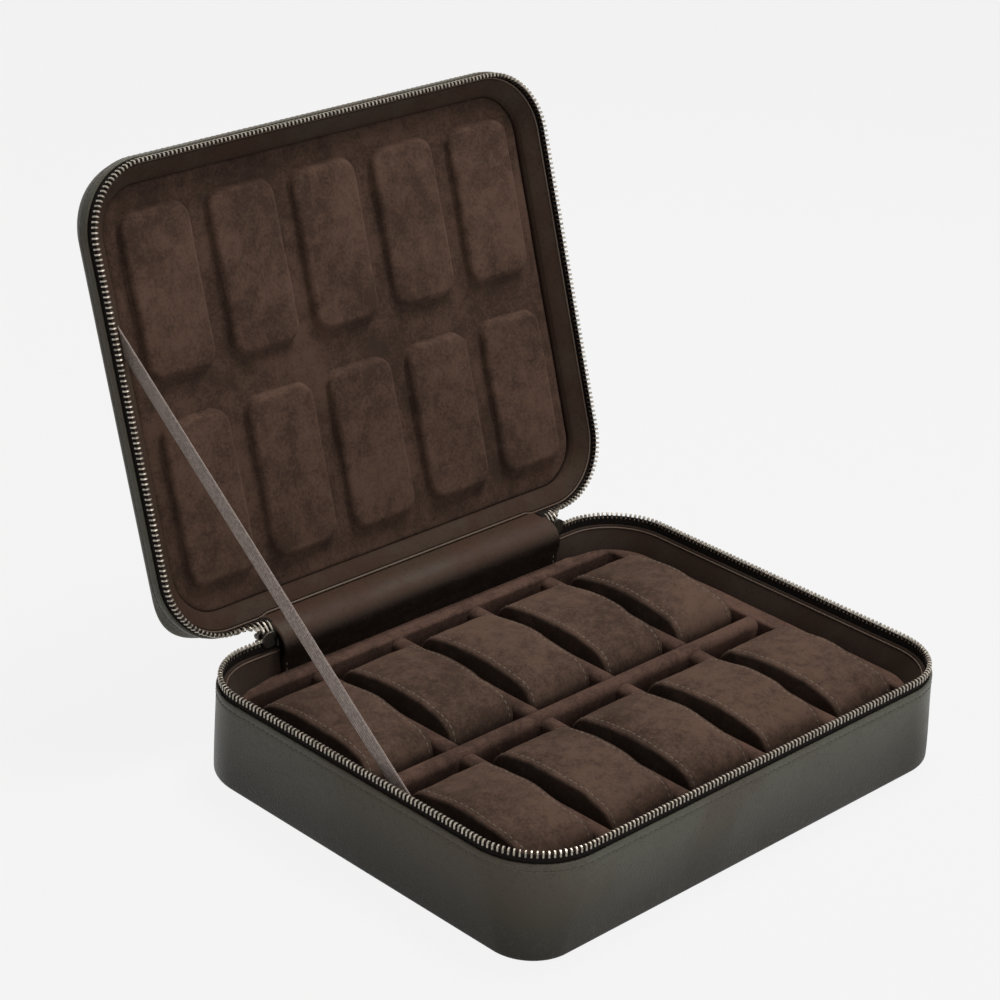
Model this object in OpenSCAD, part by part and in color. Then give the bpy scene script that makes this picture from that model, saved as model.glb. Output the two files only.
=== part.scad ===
// Zip-round leather travel case for ten watches, shown with its lid open on the stay ribbon.
// X runs along the hinge, the hinge is at +Y, and the underside lies on Z = 0.

/* [Case] */
// Outside width, along the hinge
case_w = 310; // [280:1:350]
// Outside depth, front to back
case_d = 245; // [225:1:270]
// Outside radius of the upright corners
corner_r = 38; // [32:0.5:48]
// Height of the base's leather wall
base_h = 46.5; // [42:0.5:56]
// Height of the lid's leather wall, from its rim to its outer face
lid_h = 12.5; // [12:0.5:20]
// Radius of the base's bottom edge
base_edge_r = 2; // [1.5:0.5:6]
// Radius of the lid's outer edge
lid_edge_r = 9; // [7:0.5:10]
// Thickness of the outside leather
leather_t = 1.6; // [1.2:0.1:2]
// Thickness of the stiffening board
board_t = 2.4; // [2:0.1:3]
// How far the wall leather turns in under the base
turn_in = 16; // [13:1:22]

/* [Zip] */
// Thickness of the woven tape
tape_t = 0.8; // [0.6:0.1:1]
// Tape sewn in below the leather's rim
tape_seam = 8.7; // [6:0.1:10]
// Tape that shows above the base's rim, up to the teeth
base_tape_rise = 3.6; // [3:0.1:5]
// Tape that shows past the lid's rim, up to the teeth
lid_tape_rise = 2.5; // [2.3:0.1:5]
// Height of a tooth, from its legs to the meeting line
tooth_h = 4; // [3.6:0.1:4.6]
// Thickness of a tooth across the tape
tooth_w = 2.6; // [2.2:0.1:2.8]
// Length of a tooth along the tape
tooth_run = 1.1; // [0.9:0.05:1.2]
// Distance from one tooth to the next, before it is fitted to the rim
tooth_pitch = 2.6; // [2.5:0.05:3.2]
// How far a tooth reaches past the meeting line, between two of the other row
tooth_bite = 0.25; // [0.1:0.05:0.4]
// Straight stretch of the zip on the back, at either side
zip_back = 17; // [17:1:24]
// Length of a slider along the tape
slider_l = 7.7; // [6:0.1:8]
// Thickness of a slider's plates
slider_plate_t = 1.2; // [1:0.1:1.5]
// Travel of a slider along the straight stretch at the back
slider_travel = 8; // [3:0.5:8]
// Length of a pull tab below its pin
tab_l = 24; // [18:1:30]
// Width of a pull tab
tab_w = 6; // [5:0.5:7]

/* [Hinge] */
// Angle of the open lid, from closed
open_angle = 108; // [100:1:115]
// Distance of the hinge line behind the back wall
hinge_back = 3; // [2:0.5:4]
// Thickness of the inner hinge lining
gusset_t = 1.2; // [1:0.1:1.4]

/* [Tray] */
// Height of the ledge and the dividers above the table
tray_top = 36; // [33:0.5:38]
// Thickness of the padded wall lining
collar_t = 4.4; // [3.5:0.1:5]
// How far the base's lining stands above the leather rim
collar_rise = 2.2; // [1.5:0.1:2.4]
// Width of the ledge at either side
ledge_side = 13.3; // [10:0.1:15]
// Width of the ledge along the front
ledge_front = 9.3; // [7:0.1:14]
// Width of the ledge along the hinge
ledge_back = 10.3; // [7:0.1:14]
// Thickness of the divider between the rows
centre_divider_t = 10; // [8:0.5:14]
// Thickness of the dividers between the columns
cross_divider_t = 10; // [7:0.5:12]
// How far the cross dividers stop below the ledge
cross_drop = 0.8; // [0.4:0.1:2]
// Thickness of the tray's floor
floor_t = 2; // [1.5:0.1:2.5]

/* [Cushions] */
// Space at either side of a cushion
cushion_side_gap = 0.3; // [0.3:0.1:2]
// Space before a cushion
cushion_front_gap = 7; // [4:0.5:9]
// Space behind a cushion, where the strap and a finger go
cushion_back_gap = 10; // [7:0.5:12]
// Height of a cushion at its crown
cushion_h = 39; // [36:0.5:40]
// Radius of the arch over a cushion
cushion_arch_r = 114; // [90:1:150]
// Radius of a cushion's ends
cushion_end_r = 12; // [8:0.5:14]

/* [Lid lining] */
// Width of the sloping border round the lid's panel
border_w = 10.5; // [9:0.5:13]
// How far the border stands past the leather rim
border_rise = 1.5; // [1:0.1:1.8]
// Depth of the border's inner edge below the leather rim
border_drop = 3.5; // [2:0.5:4]
// Depth of the panel's ground below the leather rim
panel_drop = 6.3; // [5:0.1:6.5]
// Height of the ten moulded pads above the ground
pad_rise = 4.3; // [3:0.1:4.5]
// Radius of a pad's upper edge
pad_edge_r = 2; // [1:0.5:2.5]
// Gap between two pads side by side
pad_side_gap = 12; // [8:0.5:16]
// Gap between the two rows of pads
pad_row_gap = 22; // [16:0.5:26]
// Length of a pad
pad_l = 84.5; // [78:0.5:88]
// Corner radius of a pad
pad_r = 9; // [5:0.5:14]

/* [Stay ribbon] */
// Width of the ribbon
ribbon_w = 9; // [7:0.5:12]
// Thickness of the ribbon
ribbon_t = 0.8; // [0.6:0.1:1]
// Ribbon's end on the base, in front of the middle
ribbon_base_y = -36; // [-50:1:-20]
// Ribbon's end on the base, above the tray's ledge
ribbon_base_up = 4; // [3.5:0.5:6]
// Ribbon's end on the lid, in front of the middle when closed
ribbon_lid_y = -37; // [-50:1:-20]

/* [Hidden] */
$fn = 64;
columns = 5;         // columns of watches, with one node to each cushion
slip = 0.1;          // space between two glued or sewn layers
clear = 0.3;         // space between pieces that move past each other
fit = 0.05;          // running fit of a pin in its eye, on the radius

// Plan of the case
mid_x = case_w / 2 - corner_r;      // centre of a corner's arc
mid_y = case_d / 2 - corner_r;

// Layers of the wall, as distances in from the leather's face
tape_in = leather_t + slip;
zip_in = tape_in + tape_t / 2;
lining_in = tape_in + tape_t + slip;
board_in = leather_t + board_t;
collar_in = board_in + slip + collar_t;

// Heights, with the lid closed
board_top = base_h - tape_seam - slip;
base_root = base_h + base_tape_rise;
zip_z = base_root + tooth_h;
lid_rim = zip_z + tooth_h + lid_tape_rise;
closed_h = lid_rim + lid_h;
floor_top = leather_t + board_t + floor_t;
collar_top = base_h + collar_rise;

// Hinge line
hinge_y = case_d / 2 + hinge_back;
hinge_z = zip_z;

// Chain of teeth, measured from its end beside the hinge strip to the middle of the front
strip_gap = 3;       // from the end of the chain to the hinge strip
chain_end = mid_x - zip_back;
spine_w = 2 * (chain_end - strip_gap);
slider_x = chain_end + slip + slider_l / 2;
stop_l = 1.6;        // length of the metal stop at a chain's end
lid_stop_x = slider_x + slider_l / 2 + slider_travel + slip;
arc_r = corner_r - zip_in;
arc_l = arc_r * PI / 2;
back_l = mid_x - chain_end;
half_chain = back_l + 2 * arc_l + 2 * mid_y + mid_x;
half_count = round(half_chain / tooth_pitch);
tooth_step = half_chain / half_count;
lid_first = ceil((lid_stop_x + stop_l + slip + tooth_run / 2 - chain_end) / tooth_step);
tape_bite = 0.55 * tooth_h;         // how far the tape reaches up between a tooth's legs
grip_gap = 0.02;                    // space between a tooth's legs and the tape

// Tray
cavity_x = case_w / 2 - collar_in - 2 * slip - ledge_side;
cavity_front = -(case_d / 2 - collar_in - 2 * slip - ledge_front);
cavity_back = case_d / 2 - collar_in - 2 * slip - ledge_back;
divider_y = (cavity_front + cavity_back) / 2;
row_l = (cavity_back - cavity_front - centre_divider_t) / 2;
column_w = (2 * cavity_x - (columns - 1) * cross_divider_t) / columns;
column_pitch = column_w + cross_divider_t;
front_row_y = divider_y - centre_divider_t / 2 - row_l / 2;
rear_row_y = divider_y + centre_divider_t / 2 + row_l / 2;
cushion_w = column_w - 2 * cushion_side_gap;
cushion_l = row_l - cushion_front_gap - cushion_back_gap;

// Lid lining
panel_in = lining_in + border_w;
border_r = 1;                       // radius of the border's outer edge
border_r2 = 1.5;                    // radius of its inner edge
border_inner = [-panel_in + border_r2, lid_h - border_drop - border_r2];
lid_seat = leather_t + board_t;     // thickness of leather and board behind the panel
board_lip = 0.4;                    // straight stretch of the lid's board above its round edge
lid_board_top = lid_edge_r + board_lip;
lid_reach = 2 * (lid_edge_r + 1);   // width of the lid's edge piece, its flat part included
pad_w = column_pitch - pad_side_gap;

// Slider and pull tab
slider_in = tooth_w / 2 + clear;
slider_h = 2.1 * tooth_h;
pin_r = 0.6;
eye_r = 1.5;
pin_out = slider_in + slider_plate_t + eye_r + clear;
ear_t = 1;
tab_t = 1.2;

leather_c = [0.23, 0.22, 0.20];
lining_c = [0.20, 0.15, 0.12];
board_c = [0.55, 0.47, 0.36];
suede_c = [0.28, 0.21, 0.18];
tape_c = [0.10, 0.10, 0.09];
metal_c = [0.68, 0.64, 0.58];
ribbon_c = [0.50, 0.47, 0.44];

// Points and places

// Where a point of the closed lid stands with the lid open, as [y, z]
function opened(y, z) = [
  hinge_y + (y - hinge_y) * cos(open_angle) + (z - hinge_z) * sin(open_angle),
  hinge_z - (y - hinge_y) * sin(open_angle) + (z - hinge_z) * cos(open_angle)
];

// Place on the chain at a distance s from its end, as [x, y, angle of the outward normal]
function on_chain(s) =
  s < back_l ? [chain_end + s, case_d / 2 - zip_in, 90]
  : s < back_l + arc_l ? on_arc(mid_y, 90 - (s - back_l) / arc_r * 180 / PI)
  : s < back_l + arc_l + 2 * mid_y ? [case_w / 2 - zip_in, mid_y - (s - back_l - arc_l), 0]
  : s < back_l + 2 * arc_l + 2 * mid_y
    ? on_arc(-mid_y, -(s - back_l - arc_l - 2 * mid_y) / arc_r * 180 / PI)
  : [half_chain - s, -case_d / 2 + zip_in, -90];
function on_arc(y, a) = [mid_x + arc_r * cos(a), y + arc_r * sin(a), a];

// Point at share t of a cubic curve
function curve_at(a, b, c, d, t) =
  a * pow(1 - t, 3) + 3 * b * t * pow(1 - t, 2) + 3 * c * t * t * (1 - t) + d * pow(t, 3);
function curve(a, b, c, d, n) = [for (i = [0 : n]) curve_at(a, b, c, d, i / n)];

// The border's round edges: the centre of the outer one, and the slope's normal between them
function border_outer(extra) = [-lining_in - extra - border_r, lid_h + border_rise - border_r];
function border_normal(extra) =
  let (
    v = border_inner - border_outer(extra),
    turn = atan2(v[1], v[0]) - acos((border_r - border_r2) / norm(v))
  ) [cos(turn), sin(turn)];

// Height of the border's slope at a distance in from the leather's face
function border_height(inset) =
  let (
    n = border_normal(0),
    foot = border_outer(0) + border_r * n
  ) foot[1] + (foot[0] + inset) * n[0] / n[1];

// Outline of a strip of thickness t laid along a line of points
function unit(v) = v / norm(v);
function side_step(p, i) =
  let (d = unit(p[min(i + 1, len(p) - 1)] - p[max(i - 1, 0)])) [-d[1], d[0]];
function strip_outline(p, t) = concat(
  [for (i = [0 : len(p) - 1]) p[i] + side_step(p, i) * t / 2],
  [for (i = [len(p) - 1 : -1 : 0]) p[i] - side_step(p, i) * t / 2]
);

// Shapes

module rounded_plate(w, d, r, t) {
  linear_extrude(t) union() {
    square([w - 2 * r, d], center = true);
    square([w, d - 2 * r], center = true);
    for (x = [-1, 1], y = [-1, 1]) {
      translate([x * (w / 2 - r), y * (d / 2 - r)]) circle(r);
    }
  }
}

// A length of the section in its children, centred, with the section's +X outwards
module run(l) {
  rotate([90, 0, 0]) translate([0, 0, -l / 2]) linear_extrude(l) children();
}

// Carries the section in its children round a plan w by d with corners of radius r. The
// section's X is 0 at the plan's edge. A gap leaves the back open, from -gap to gap.
module round_plan(w, d, r, gap = 0) {
  side = w / 2 - r;
  for (a = [0, 180]) {
    rotate(a) translate([w / 2, 0, 0]) run(d - 2 * r) children();
  }
  rotate(-90) translate([d / 2, 0, 0]) run(2 * side) children();
  if (gap == 0) {
    rotate(90) translate([d / 2, 0, 0]) run(2 * side) children();
  } else {
    for (s = [-1, 1]) {
      rotate(90) translate([d / 2, s * (side + gap) / 2, 0]) run(side - gap) children();
    }
  }
  for (c = [[1, 1, 0], [-1, 1, 90], [-1, -1, 180], [1, -1, 270]]) {
    translate([c[0] * side, c[1] * (d / 2 - r), 0]) rotate(c[2]) {
      rotate_extrude(angle = 90) translate([r, 0]) children();
    }
  }
}

// Carries the section in its children round the case, from the leather's face
module round_case(gap = 0) {
  round_plan(case_w, case_d, corner_r, gap) children();
}

// The rounded corner of a section whose faces meet at [x, y], both falling away from it
module round_corner(x, y, r) {
  intersection() {
    translate([x - r, y - r]) circle(r);
    translate([x - r, y - r]) square(r);
  }
}

// A rounded plate with its upper edge rounded by e
module soft_plate(w, d, r, t, e) {
  rounded_plate(w, d, r, t - e);
  rounded_plate(w - 2 * e, d - 2 * e, r - e, t);
  round_plan(w, d, r) round_corner(0, t, e);
}

// Region inside a wall whose face is at x = -inset and whose foot is rounded by r
module foot_region(inset, r, foot, top, reach) {
  translate([-reach, foot]) square([reach - inset - r, top - foot]);
  translate([-reach, foot + r]) square([reach - inset, top - foot - r]);
  if (r > 0) {
    intersection() {
      translate([-inset - r, foot + r]) circle(r);
      translate([-inset - r, foot]) square(r);
    }
  }
}

// Section of a wall of thickness t that turns in under itself
module tub_section(inset, r, t, foot, top, reach) {
  difference() {
    foot_region(inset, r, foot, top, reach);
    foot_region(inset + t, max(r - t, 0), foot + t, top + 1, reach + 1);
  }
}

// Stands the closed lid's pieces open. They are drawn upside down, from their outer face at 0.
module lid_open() {
  translate([0, hinge_y, hinge_z]) rotate([-open_angle, 0, 0]) {
    translate([0, -hinge_y, closed_h - hinge_z]) mirror([0, 0, 1]) children();
  }
}

// Base

module base_board() {
  color(board_c) {
    round_case() tub_section(leather_t, max(base_edge_r - leather_t, 0), board_t, leather_t,
                             board_top, turn_in);
    translate([0, 0, leather_t]) {
      rounded_plate(case_w - 2 * turn_in, case_d - 2 * turn_in, corner_r - turn_in, board_t);
    }
  }
}

module base_leather_wall() {
  color(leather_c) round_case() {
    tub_section(0, base_edge_r, leather_t, 0, base_h - leather_t / 2, turn_in - slip);
    translate([-leather_t / 2, base_h - leather_t / 2]) circle(leather_t / 2);
  }
}

module base_bottom_panel() {
  color(leather_c) {
    rounded_plate(case_w - 2 * turn_in, case_d - 2 * turn_in, corner_r - turn_in, leather_t);
  }
}

module base_zip_tape() {
  color(tape_c) round_case(spine_w / 2 + slip) {
    translate([-tape_in - tape_t, board_top + slip]) {
      square([tape_t, base_root + tape_bite - board_top - slip]);
    }
  }
}

// A tooth's head and the two legs that grip the tape's edge
module tooth() {
  half = tooth_w / 2;
  slot = tape_t / 2 + grip_gap;
  crotch = tape_bite + grip_gap;
  top = tooth_h + tooth_bite;
  side_cut = 1;
  top_cut = 0.6;
  rotate([90, 0, 0]) translate([0, 0, -tooth_run / 2]) linear_extrude(tooth_run) {
    polygon([
      [-half, 0], [-slot, 0], [-slot, crotch], [slot, crotch], [slot, 0],
      [half, 0], [half, top - side_cut], [half - top_cut, top],
      [-half + top_cut, top], [-half, top - side_cut]
    ]);
  }
}

module tooth_at(s, z) {
  p = on_chain(s);
  translate([p[0], p[1], z]) rotate(p[2]) tooth();
}

module base_zip_teeth() {
  color(metal_c) for (side = [0, 1]) {
    mirror([side, 0, 0]) for (i = [0 : half_count - 1]) {
      tooth_at((i + 0.5) * tooth_step, base_root);
    }
  }
}

// Metal stop pinched over the end of a tape
module zip_stop(x, z) {
  translate([x, case_d / 2 - zip_in, z]) difference() {
    translate([0, -tooth_w / 2, 0]) cube([stop_l, tooth_w, tooth_h - tooth_bite]);
    translate([-1, -tape_t / 2 - grip_gap, -1]) {
      cube([stop_l + 2, tape_t + 2 * grip_gap, tape_bite + grip_gap + 1]);
    }
  }
}

module base_zip_stops() {
  color(metal_c) for (side = [0, 1]) {
    mirror([side, 0, 0]) zip_stop(chain_end - slip - stop_l, base_root);
  }
}

module base_collar() {
  bead_r = (collar_in - lining_in) / 2;
  shoulder = collar_top - bead_r;
  color(lining_c) round_case(spine_w / 2 + 2 * slip) {
    translate([-collar_in, floor_top + slip]) square([collar_t, shoulder - floor_top - slip]);
    translate([-collar_in, board_top + slip]) square([2 * bead_r, shoulder - board_top - slip]);
    translate([-lining_in - bead_r, shoulder]) circle(bead_r);
  }
}

// Tray

module tray_floor() {
  edge = max(board_in, base_edge_r) + slip;
  color(suede_c) translate([0, 0, floor_top - floor_t]) {
    rounded_plate(case_w - 2 * edge, case_d - 2 * edge, corner_r - edge, floor_t);
  }
}

module tray_ledge() {
  edge = collar_in + 2 * slip;
  foot = floor_top + slip;
  color(suede_c) difference() {
    translate([0, 0, foot]) {
      rounded_plate(case_w - 2 * edge, case_d - 2 * edge, corner_r - edge, tray_top - foot);
    }
    translate([0, divider_y, foot - 1]) {
      rounded_plate(2 * cavity_x, cavity_back - cavity_front, 2, tray_top - foot + 2);
    }
  }
}

// Upright board with a rounded top edge, lying along X and centred on it
module divider(l, t, top) {
  foot = floor_top + slip;
  r = t * 0.3;
  rotate([90, 0, 90]) translate([0, 0, -l / 2]) linear_extrude(l) {
    translate([-t / 2, foot]) square([t, top - foot - r]);
    translate([-t / 2 + r, foot]) square([t - 2 * r, top - foot]);
    for (s = [-1, 1]) {
      translate([s * (t / 2 - r), top - r]) circle(r);
    }
  }
}

module centre_divider() {
  color(suede_c) translate([0, divider_y, 0]) {
    divider(2 * (cavity_x - slip), centre_divider_t, tray_top);
  }
}

module cross_dividers(row_y) {
  for (i = [1 : columns - 1]) {
    translate([(i - columns / 2) * column_pitch, row_y, 0]) rotate(90) {
      divider(row_l - 2 * slip, cross_divider_t, tray_top - cross_drop);
    }
  }
}

module front_dividers() {
  color(suede_c) cross_dividers(front_row_y);
}

module rear_dividers() {
  color(suede_c) cross_dividers(rear_row_y);
}

// Cushion for one watch: flat underneath, arched from front to back, with round ends
module cushion(column, row_y) {
  half = cushion_l / 2;
  end_top = cushion_h - cushion_arch_r
    + sqrt(pow(cushion_arch_r, 2) - pow(half - cushion_end_r, 2));
  shift = (cushion_back_gap - cushion_front_gap) / 2;
  color(suede_c) {
    translate([(column - (columns + 1) / 2) * column_pitch, row_y - shift, floor_top + clear]) {
      rotate([90, 0, 90]) translate([0, 0, -cushion_w / 2]) linear_extrude(cushion_w) {
        translate([-half, 0]) square([2 * half, end_top - cushion_end_r]);
        for (s = [-1, 1]) {
          translate([s * (half - cushion_end_r), end_top - cushion_end_r]) {
            circle(cushion_end_r);
          }
        }
        intersection() {
          translate([-half + cushion_end_r, 0]) square([2 * (half - cushion_end_r), cushion_h]);
          translate([0, cushion_h - cushion_arch_r]) circle(cushion_arch_r, $fn = 180);
        }
      }
    }
  }
}

// Lid

module lid_board() {
  color(board_c) lid_open() {
    round_case() {
      tub_section(leather_t, lid_edge_r - leather_t, board_t, leather_t, lid_board_top,
                  lid_reach);
    }
    translate([0, 0, leather_t]) {
      rounded_plate(case_w - 2 * lid_reach, case_d - 2 * lid_reach, corner_r - lid_reach,
                    board_t);
    }
  }
}

module lid_leather() {
  color(leather_c) lid_open() {
    round_case() {
      tub_section(0, lid_edge_r, leather_t, 0, lid_h - leather_t / 2, lid_reach);
      translate([-leather_t / 2, lid_h - leather_t / 2]) circle(leather_t / 2);
    }
    rounded_plate(case_w - 2 * lid_reach, case_d - 2 * lid_reach, corner_r - lid_reach,
                  leather_t);
  }
}

// The tape is cut low beside the hinge, where it carries no teeth
module lid_zip_tape() {
  foot = lid_board_top + slip;
  low = lid_h + lid_tape_rise;
  color(tape_c) lid_open() {
    round_case(lid_stop_x) {
      translate([-tape_in - tape_t, foot]) square([tape_t, low + tape_bite - foot]);
    }
    for (side = [0, 1]) {
      mirror([side, 0, 0]) {
        translate([spine_w / 2 + slip, case_d / 2 - tape_in - tape_t, foot]) {
          cube([lid_stop_x - spine_w / 2 - slip, tape_t, low - foot]);
        }
      }
    }
  }
}

module lid_zip_teeth() {
  root = lid_h + lid_tape_rise;
  color(metal_c) lid_open() {
    for (side = [0, 1]) {
      mirror([side, 0, 0]) for (i = [lid_first : half_count - 1]) {
        tooth_at(i * tooth_step, root);
      }
    }
    tooth_at(half_chain, root);
  }
}

module lid_zip_stops() {
  color(metal_c) lid_open() {
    for (side = [0, 1]) {
      mirror([side, 0, 0]) zip_stop(lid_stop_x, lid_h + lid_tape_rise);
    }
  }
}

// Section of the border, set in by extra where the hinge lining passes behind it
module border_section(extra) {
  face = lining_in + extra;
  outer = border_outer(extra);
  n = border_normal(extra);
  polygon([
    [-panel_in, lid_seat + slip], [-lid_edge_r, lid_seat + slip],
    [-board_in - slip, lid_edge_r], [-board_in - slip, lid_board_top + slip],
    [-face, lid_board_top + slip], [-face, outer[1]],
    outer, outer + border_r * n, border_inner + border_r2 * n, border_inner,
    [-panel_in, border_inner[1]]
  ]);
  translate(outer) circle(border_r);
  translate(border_inner) circle(border_r2);
}

module lid_border() {
  color(lining_c) lid_open() {
    round_case(spine_w / 2) border_section(0);
    rotate(90) translate([case_d / 2, 0, 0]) run(spine_w) border_section(gusset_t + slip);
  }
}

module lid_panel() {
  inset = panel_in + slip;
  foot = lid_seat + slip;
  ground = lid_h - panel_drop;
  color(suede_c) lid_open() translate([0, 0, foot]) {
    rounded_plate(case_w - 2 * inset, case_d - 2 * inset, corner_r - inset, ground - foot);
    for (column = [1 : columns], row = [-1, 1]) {
      translate([
        (column - (columns + 1) / 2) * column_pitch, divider_y + row * (pad_l + pad_row_gap) / 2, 0
      ]) soft_plate(pad_w, pad_l, pad_r, ground + pad_rise - foot, pad_edge_r);
    }
  }
}

// Hinge and stay

// Lays a strip of thickness t, w wide along X, through a line of [y, z] points
module strip_along_x(points, t, w) {
  rotate([90, 0, 90]) translate([0, 0, -w / 2]) linear_extrude(w) {
    polygon(strip_outline(points, t));
  }
}

// The outside strip, sewn in where the tape is left out
module hinge_spine() {
  lift = 3.5;
  reach = 4;
  in_y = case_d / 2 - zip_in;
  a = [in_y, base_h];
  d = opened(in_y, lid_rim);
  into_lid = opened(in_y, lid_rim + 1) - d;
  seam = lid_h - lid_board_top - slip;
  color(leather_c) {
    strip_along_x(concat(
      [[in_y, board_top + slip]],
      curve(a, a + [0, lift], d - into_lid * reach, d, 12),
      [d + into_lid * seam]
    ), tape_t, spine_w);
  }
}

// The soft lining that rolls over the hinge, from the wall behind the ledge to the lid's rim
module hinge_gusset() {
  lift = 11;
  reach = 9;
  in_y = case_d / 2 - board_in - slip - gusset_t / 2;
  lid_y = case_d / 2 - lining_in - gusset_t / 2;
  a = [in_y, base_h - lift / 2];
  d = opened(lid_y, lid_rim);
  into_lid = opened(lid_y, lid_rim + 1) - d;
  seam = lid_h - lid_board_top - slip;
  color(lining_c) {
    strip_along_x(concat(
      [[in_y, floor_top + slip]],
      curve(a, a + [0, lift], d - into_lid * reach, d, 16),
      [d + into_lid * seam]
    ), gusset_t, spine_w - 2);
  }
}

// The ribbon lies against the base's lining and is cut along the lid's border at its other end
module stay_ribbon() {
  inset = collar_in + slip;
  lid_z = closed_h - border_height(inset) - slip;
  on_base = [ribbon_base_y, tray_top + ribbon_base_up];
  on_lid = opened(ribbon_lid_y, lid_z);
  d = unit(on_lid - on_base);
  across = [-d[1], d[0]] * ribbon_w / 2;
  lid_way = opened(ribbon_lid_y - 1, lid_z) - on_lid;
  cut = lid_way * ribbon_w / 2 / cross(d, lid_way);
  color(ribbon_c) translate([-case_w / 2 + inset, 0, 0]) {
    rotate([90, 0, 90]) linear_extrude(ribbon_t) {
      polygon([on_base - across, on_lid - cut, on_lid + cut, on_base + across]);
    }
  }
}

// Zip sliders

// A slider in its own place: X along the tape, Y outwards, Z up from the meeting line. The
// bridge between its plates stands over the base's teeth.
module slider_body() {
  bridge_l = 2.4;
  bridge_h = 2;
  nose_l = 2.4;
  nose_cut = 1.6;
  heel_l = 0.8;
  heel_cut = 1.2;
  tip = slider_l / 2;
  top = slider_h / 2;
  out = slider_in + slider_plate_t;
  for (y = [-out, slider_in]) {
    translate([0, y + slider_plate_t, 0]) rotate([90, 0, 0]) linear_extrude(slider_plate_t) {
      polygon([
        [-tip, -top + heel_cut], [-tip + heel_l, -top], [tip - nose_l, -top],
        [tip, -top + nose_cut], [tip, top - nose_cut], [tip - nose_l, top],
        [-tip + heel_l, top], [-tip, top - heel_cut]
      ]);
    }
  }
  translate([tip - nose_l - bridge_l, -slider_in, tooth_bite + clear]) {
    cube([bridge_l, 2 * slider_in, bridge_h]);
  }
  for (x = [-tab_w / 2 + fit, tab_w / 2 - fit - ear_t]) {
    translate([x, out, -eye_r]) cube([ear_t, pin_out - out, 2 * eye_r]);
    translate([x, pin_out, 0]) rotate([0, 90, 0]) cylinder(h = ear_t, r = eye_r);
  }
  translate([-tab_w / 2 + fit, pin_out, 0]) rotate([0, 90, 0]) {
    cylinder(h = tab_w - 2 * fit, r = pin_r);
  }
}

// A pull tab in its own place, hung from the pin
module tab_body() {
  eye_l = tab_w - 2 * ear_t - 2 * clear;
  translate([0, pin_out, 0]) difference() {
    union() {
      translate([-eye_l / 2, 0, 0]) rotate([0, 90, 0]) cylinder(h = eye_l, r = eye_r);
      translate([-eye_l / 2, -tab_t / 2, -eye_r - 2]) cube([eye_l, tab_t, eye_r + 2]);
      translate([0, tab_t / 2, 0]) rotate([90, 0, 0]) linear_extrude(tab_t) {
        translate([-tab_w / 2, -tab_l + tab_w / 2]) square([tab_w, tab_l - tab_w / 2 - eye_r - 1]);
        translate([0, -tab_l + tab_w / 2]) circle(tab_w / 2);
      }
    }
    translate([-tab_w, 0, 0]) rotate([0, 90, 0]) cylinder(h = 2 * tab_w, r = pin_r + fit);
    translate([0, tab_t, -tab_l + tab_w / 2]) rotate([90, 0, 0]) cylinder(h = 2 * tab_t, r = 1.2);
  }
}

module slider_place(side) {
  mirror([side < 0 ? 0 : 1, 0, 0]) translate([-slider_x, case_d / 2 - zip_in, zip_z]) {
    mirror([1, 0, 0]) children();
  }
}

module zip_slider_left() {
  color(metal_c) slider_place(-1) slider_body();
}

module zip_slider_right() {
  color(metal_c) slider_place(1) slider_body();
}

module pull_tab_left() {
  color(metal_c) slider_place(-1) tab_body();
}

module pull_tab_right() {
  color(metal_c) slider_place(1) tab_body();
}

base_board();
base_leather_wall();
base_bottom_panel();
base_zip_tape();
base_zip_teeth();
base_zip_stops();
base_collar();
tray_floor();
tray_ledge();
centre_divider();
front_dividers();
rear_dividers();
lid_board();
lid_leather();
lid_zip_tape();
lid_zip_teeth();
lid_zip_stops();
lid_border();
lid_panel();
hinge_spine();
hinge_gusset();
stay_ribbon();
zip_slider_left();
zip_slider_right();
pull_tab_left();
pull_tab_right();
cushion(1, front_row_y);  // front_cushion_1
cushion(2, front_row_y);  // front_cushion_2
cushion(3, front_row_y);  // front_cushion_3
cushion(4, front_row_y);  // front_cushion_4
cushion(5, front_row_y);  // front_cushion_5
cushion(1, rear_row_y);  // rear_cushion_1
cushion(2, rear_row_y);  // rear_cushion_2
cushion(3, rear_row_y);  // rear_cushion_3
cushion(4, rear_row_y);  // rear_cushion_4
cushion(5, rear_row_y);  // rear_cushion_5
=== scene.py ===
"""Dresses the watch travel case: leather shell, zip, suede tray, cushions, lid lining and stage."""

import math

import bmesh
import bpy
import numpy as np
from mathutils import Matrix, Vector, kdtree


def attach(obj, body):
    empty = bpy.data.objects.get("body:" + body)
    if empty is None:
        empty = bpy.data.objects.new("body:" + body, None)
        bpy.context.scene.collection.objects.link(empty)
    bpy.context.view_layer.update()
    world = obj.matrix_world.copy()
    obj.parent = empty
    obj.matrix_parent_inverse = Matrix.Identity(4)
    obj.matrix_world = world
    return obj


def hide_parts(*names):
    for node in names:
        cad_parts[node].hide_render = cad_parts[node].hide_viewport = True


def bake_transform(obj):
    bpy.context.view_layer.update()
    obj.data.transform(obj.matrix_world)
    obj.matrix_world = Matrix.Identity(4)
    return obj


bl_info = {
    "name": "Watch travel case",
    "version": (1, 0, 0),
    "blender": (4, 5, 0),
    "location": "3D View > Sidebar > Watch Case",
    "description": "Leather, zip, suede tray, watch cushions and lid lining of a watch case",
    "category": "Object",
}

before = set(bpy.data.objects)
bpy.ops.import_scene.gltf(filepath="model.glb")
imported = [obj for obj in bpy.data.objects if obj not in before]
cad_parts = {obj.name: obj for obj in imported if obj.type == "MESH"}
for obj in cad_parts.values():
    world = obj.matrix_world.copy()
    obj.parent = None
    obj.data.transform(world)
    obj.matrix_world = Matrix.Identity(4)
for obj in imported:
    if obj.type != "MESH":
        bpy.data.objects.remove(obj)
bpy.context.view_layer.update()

MM = 0.001

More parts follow.
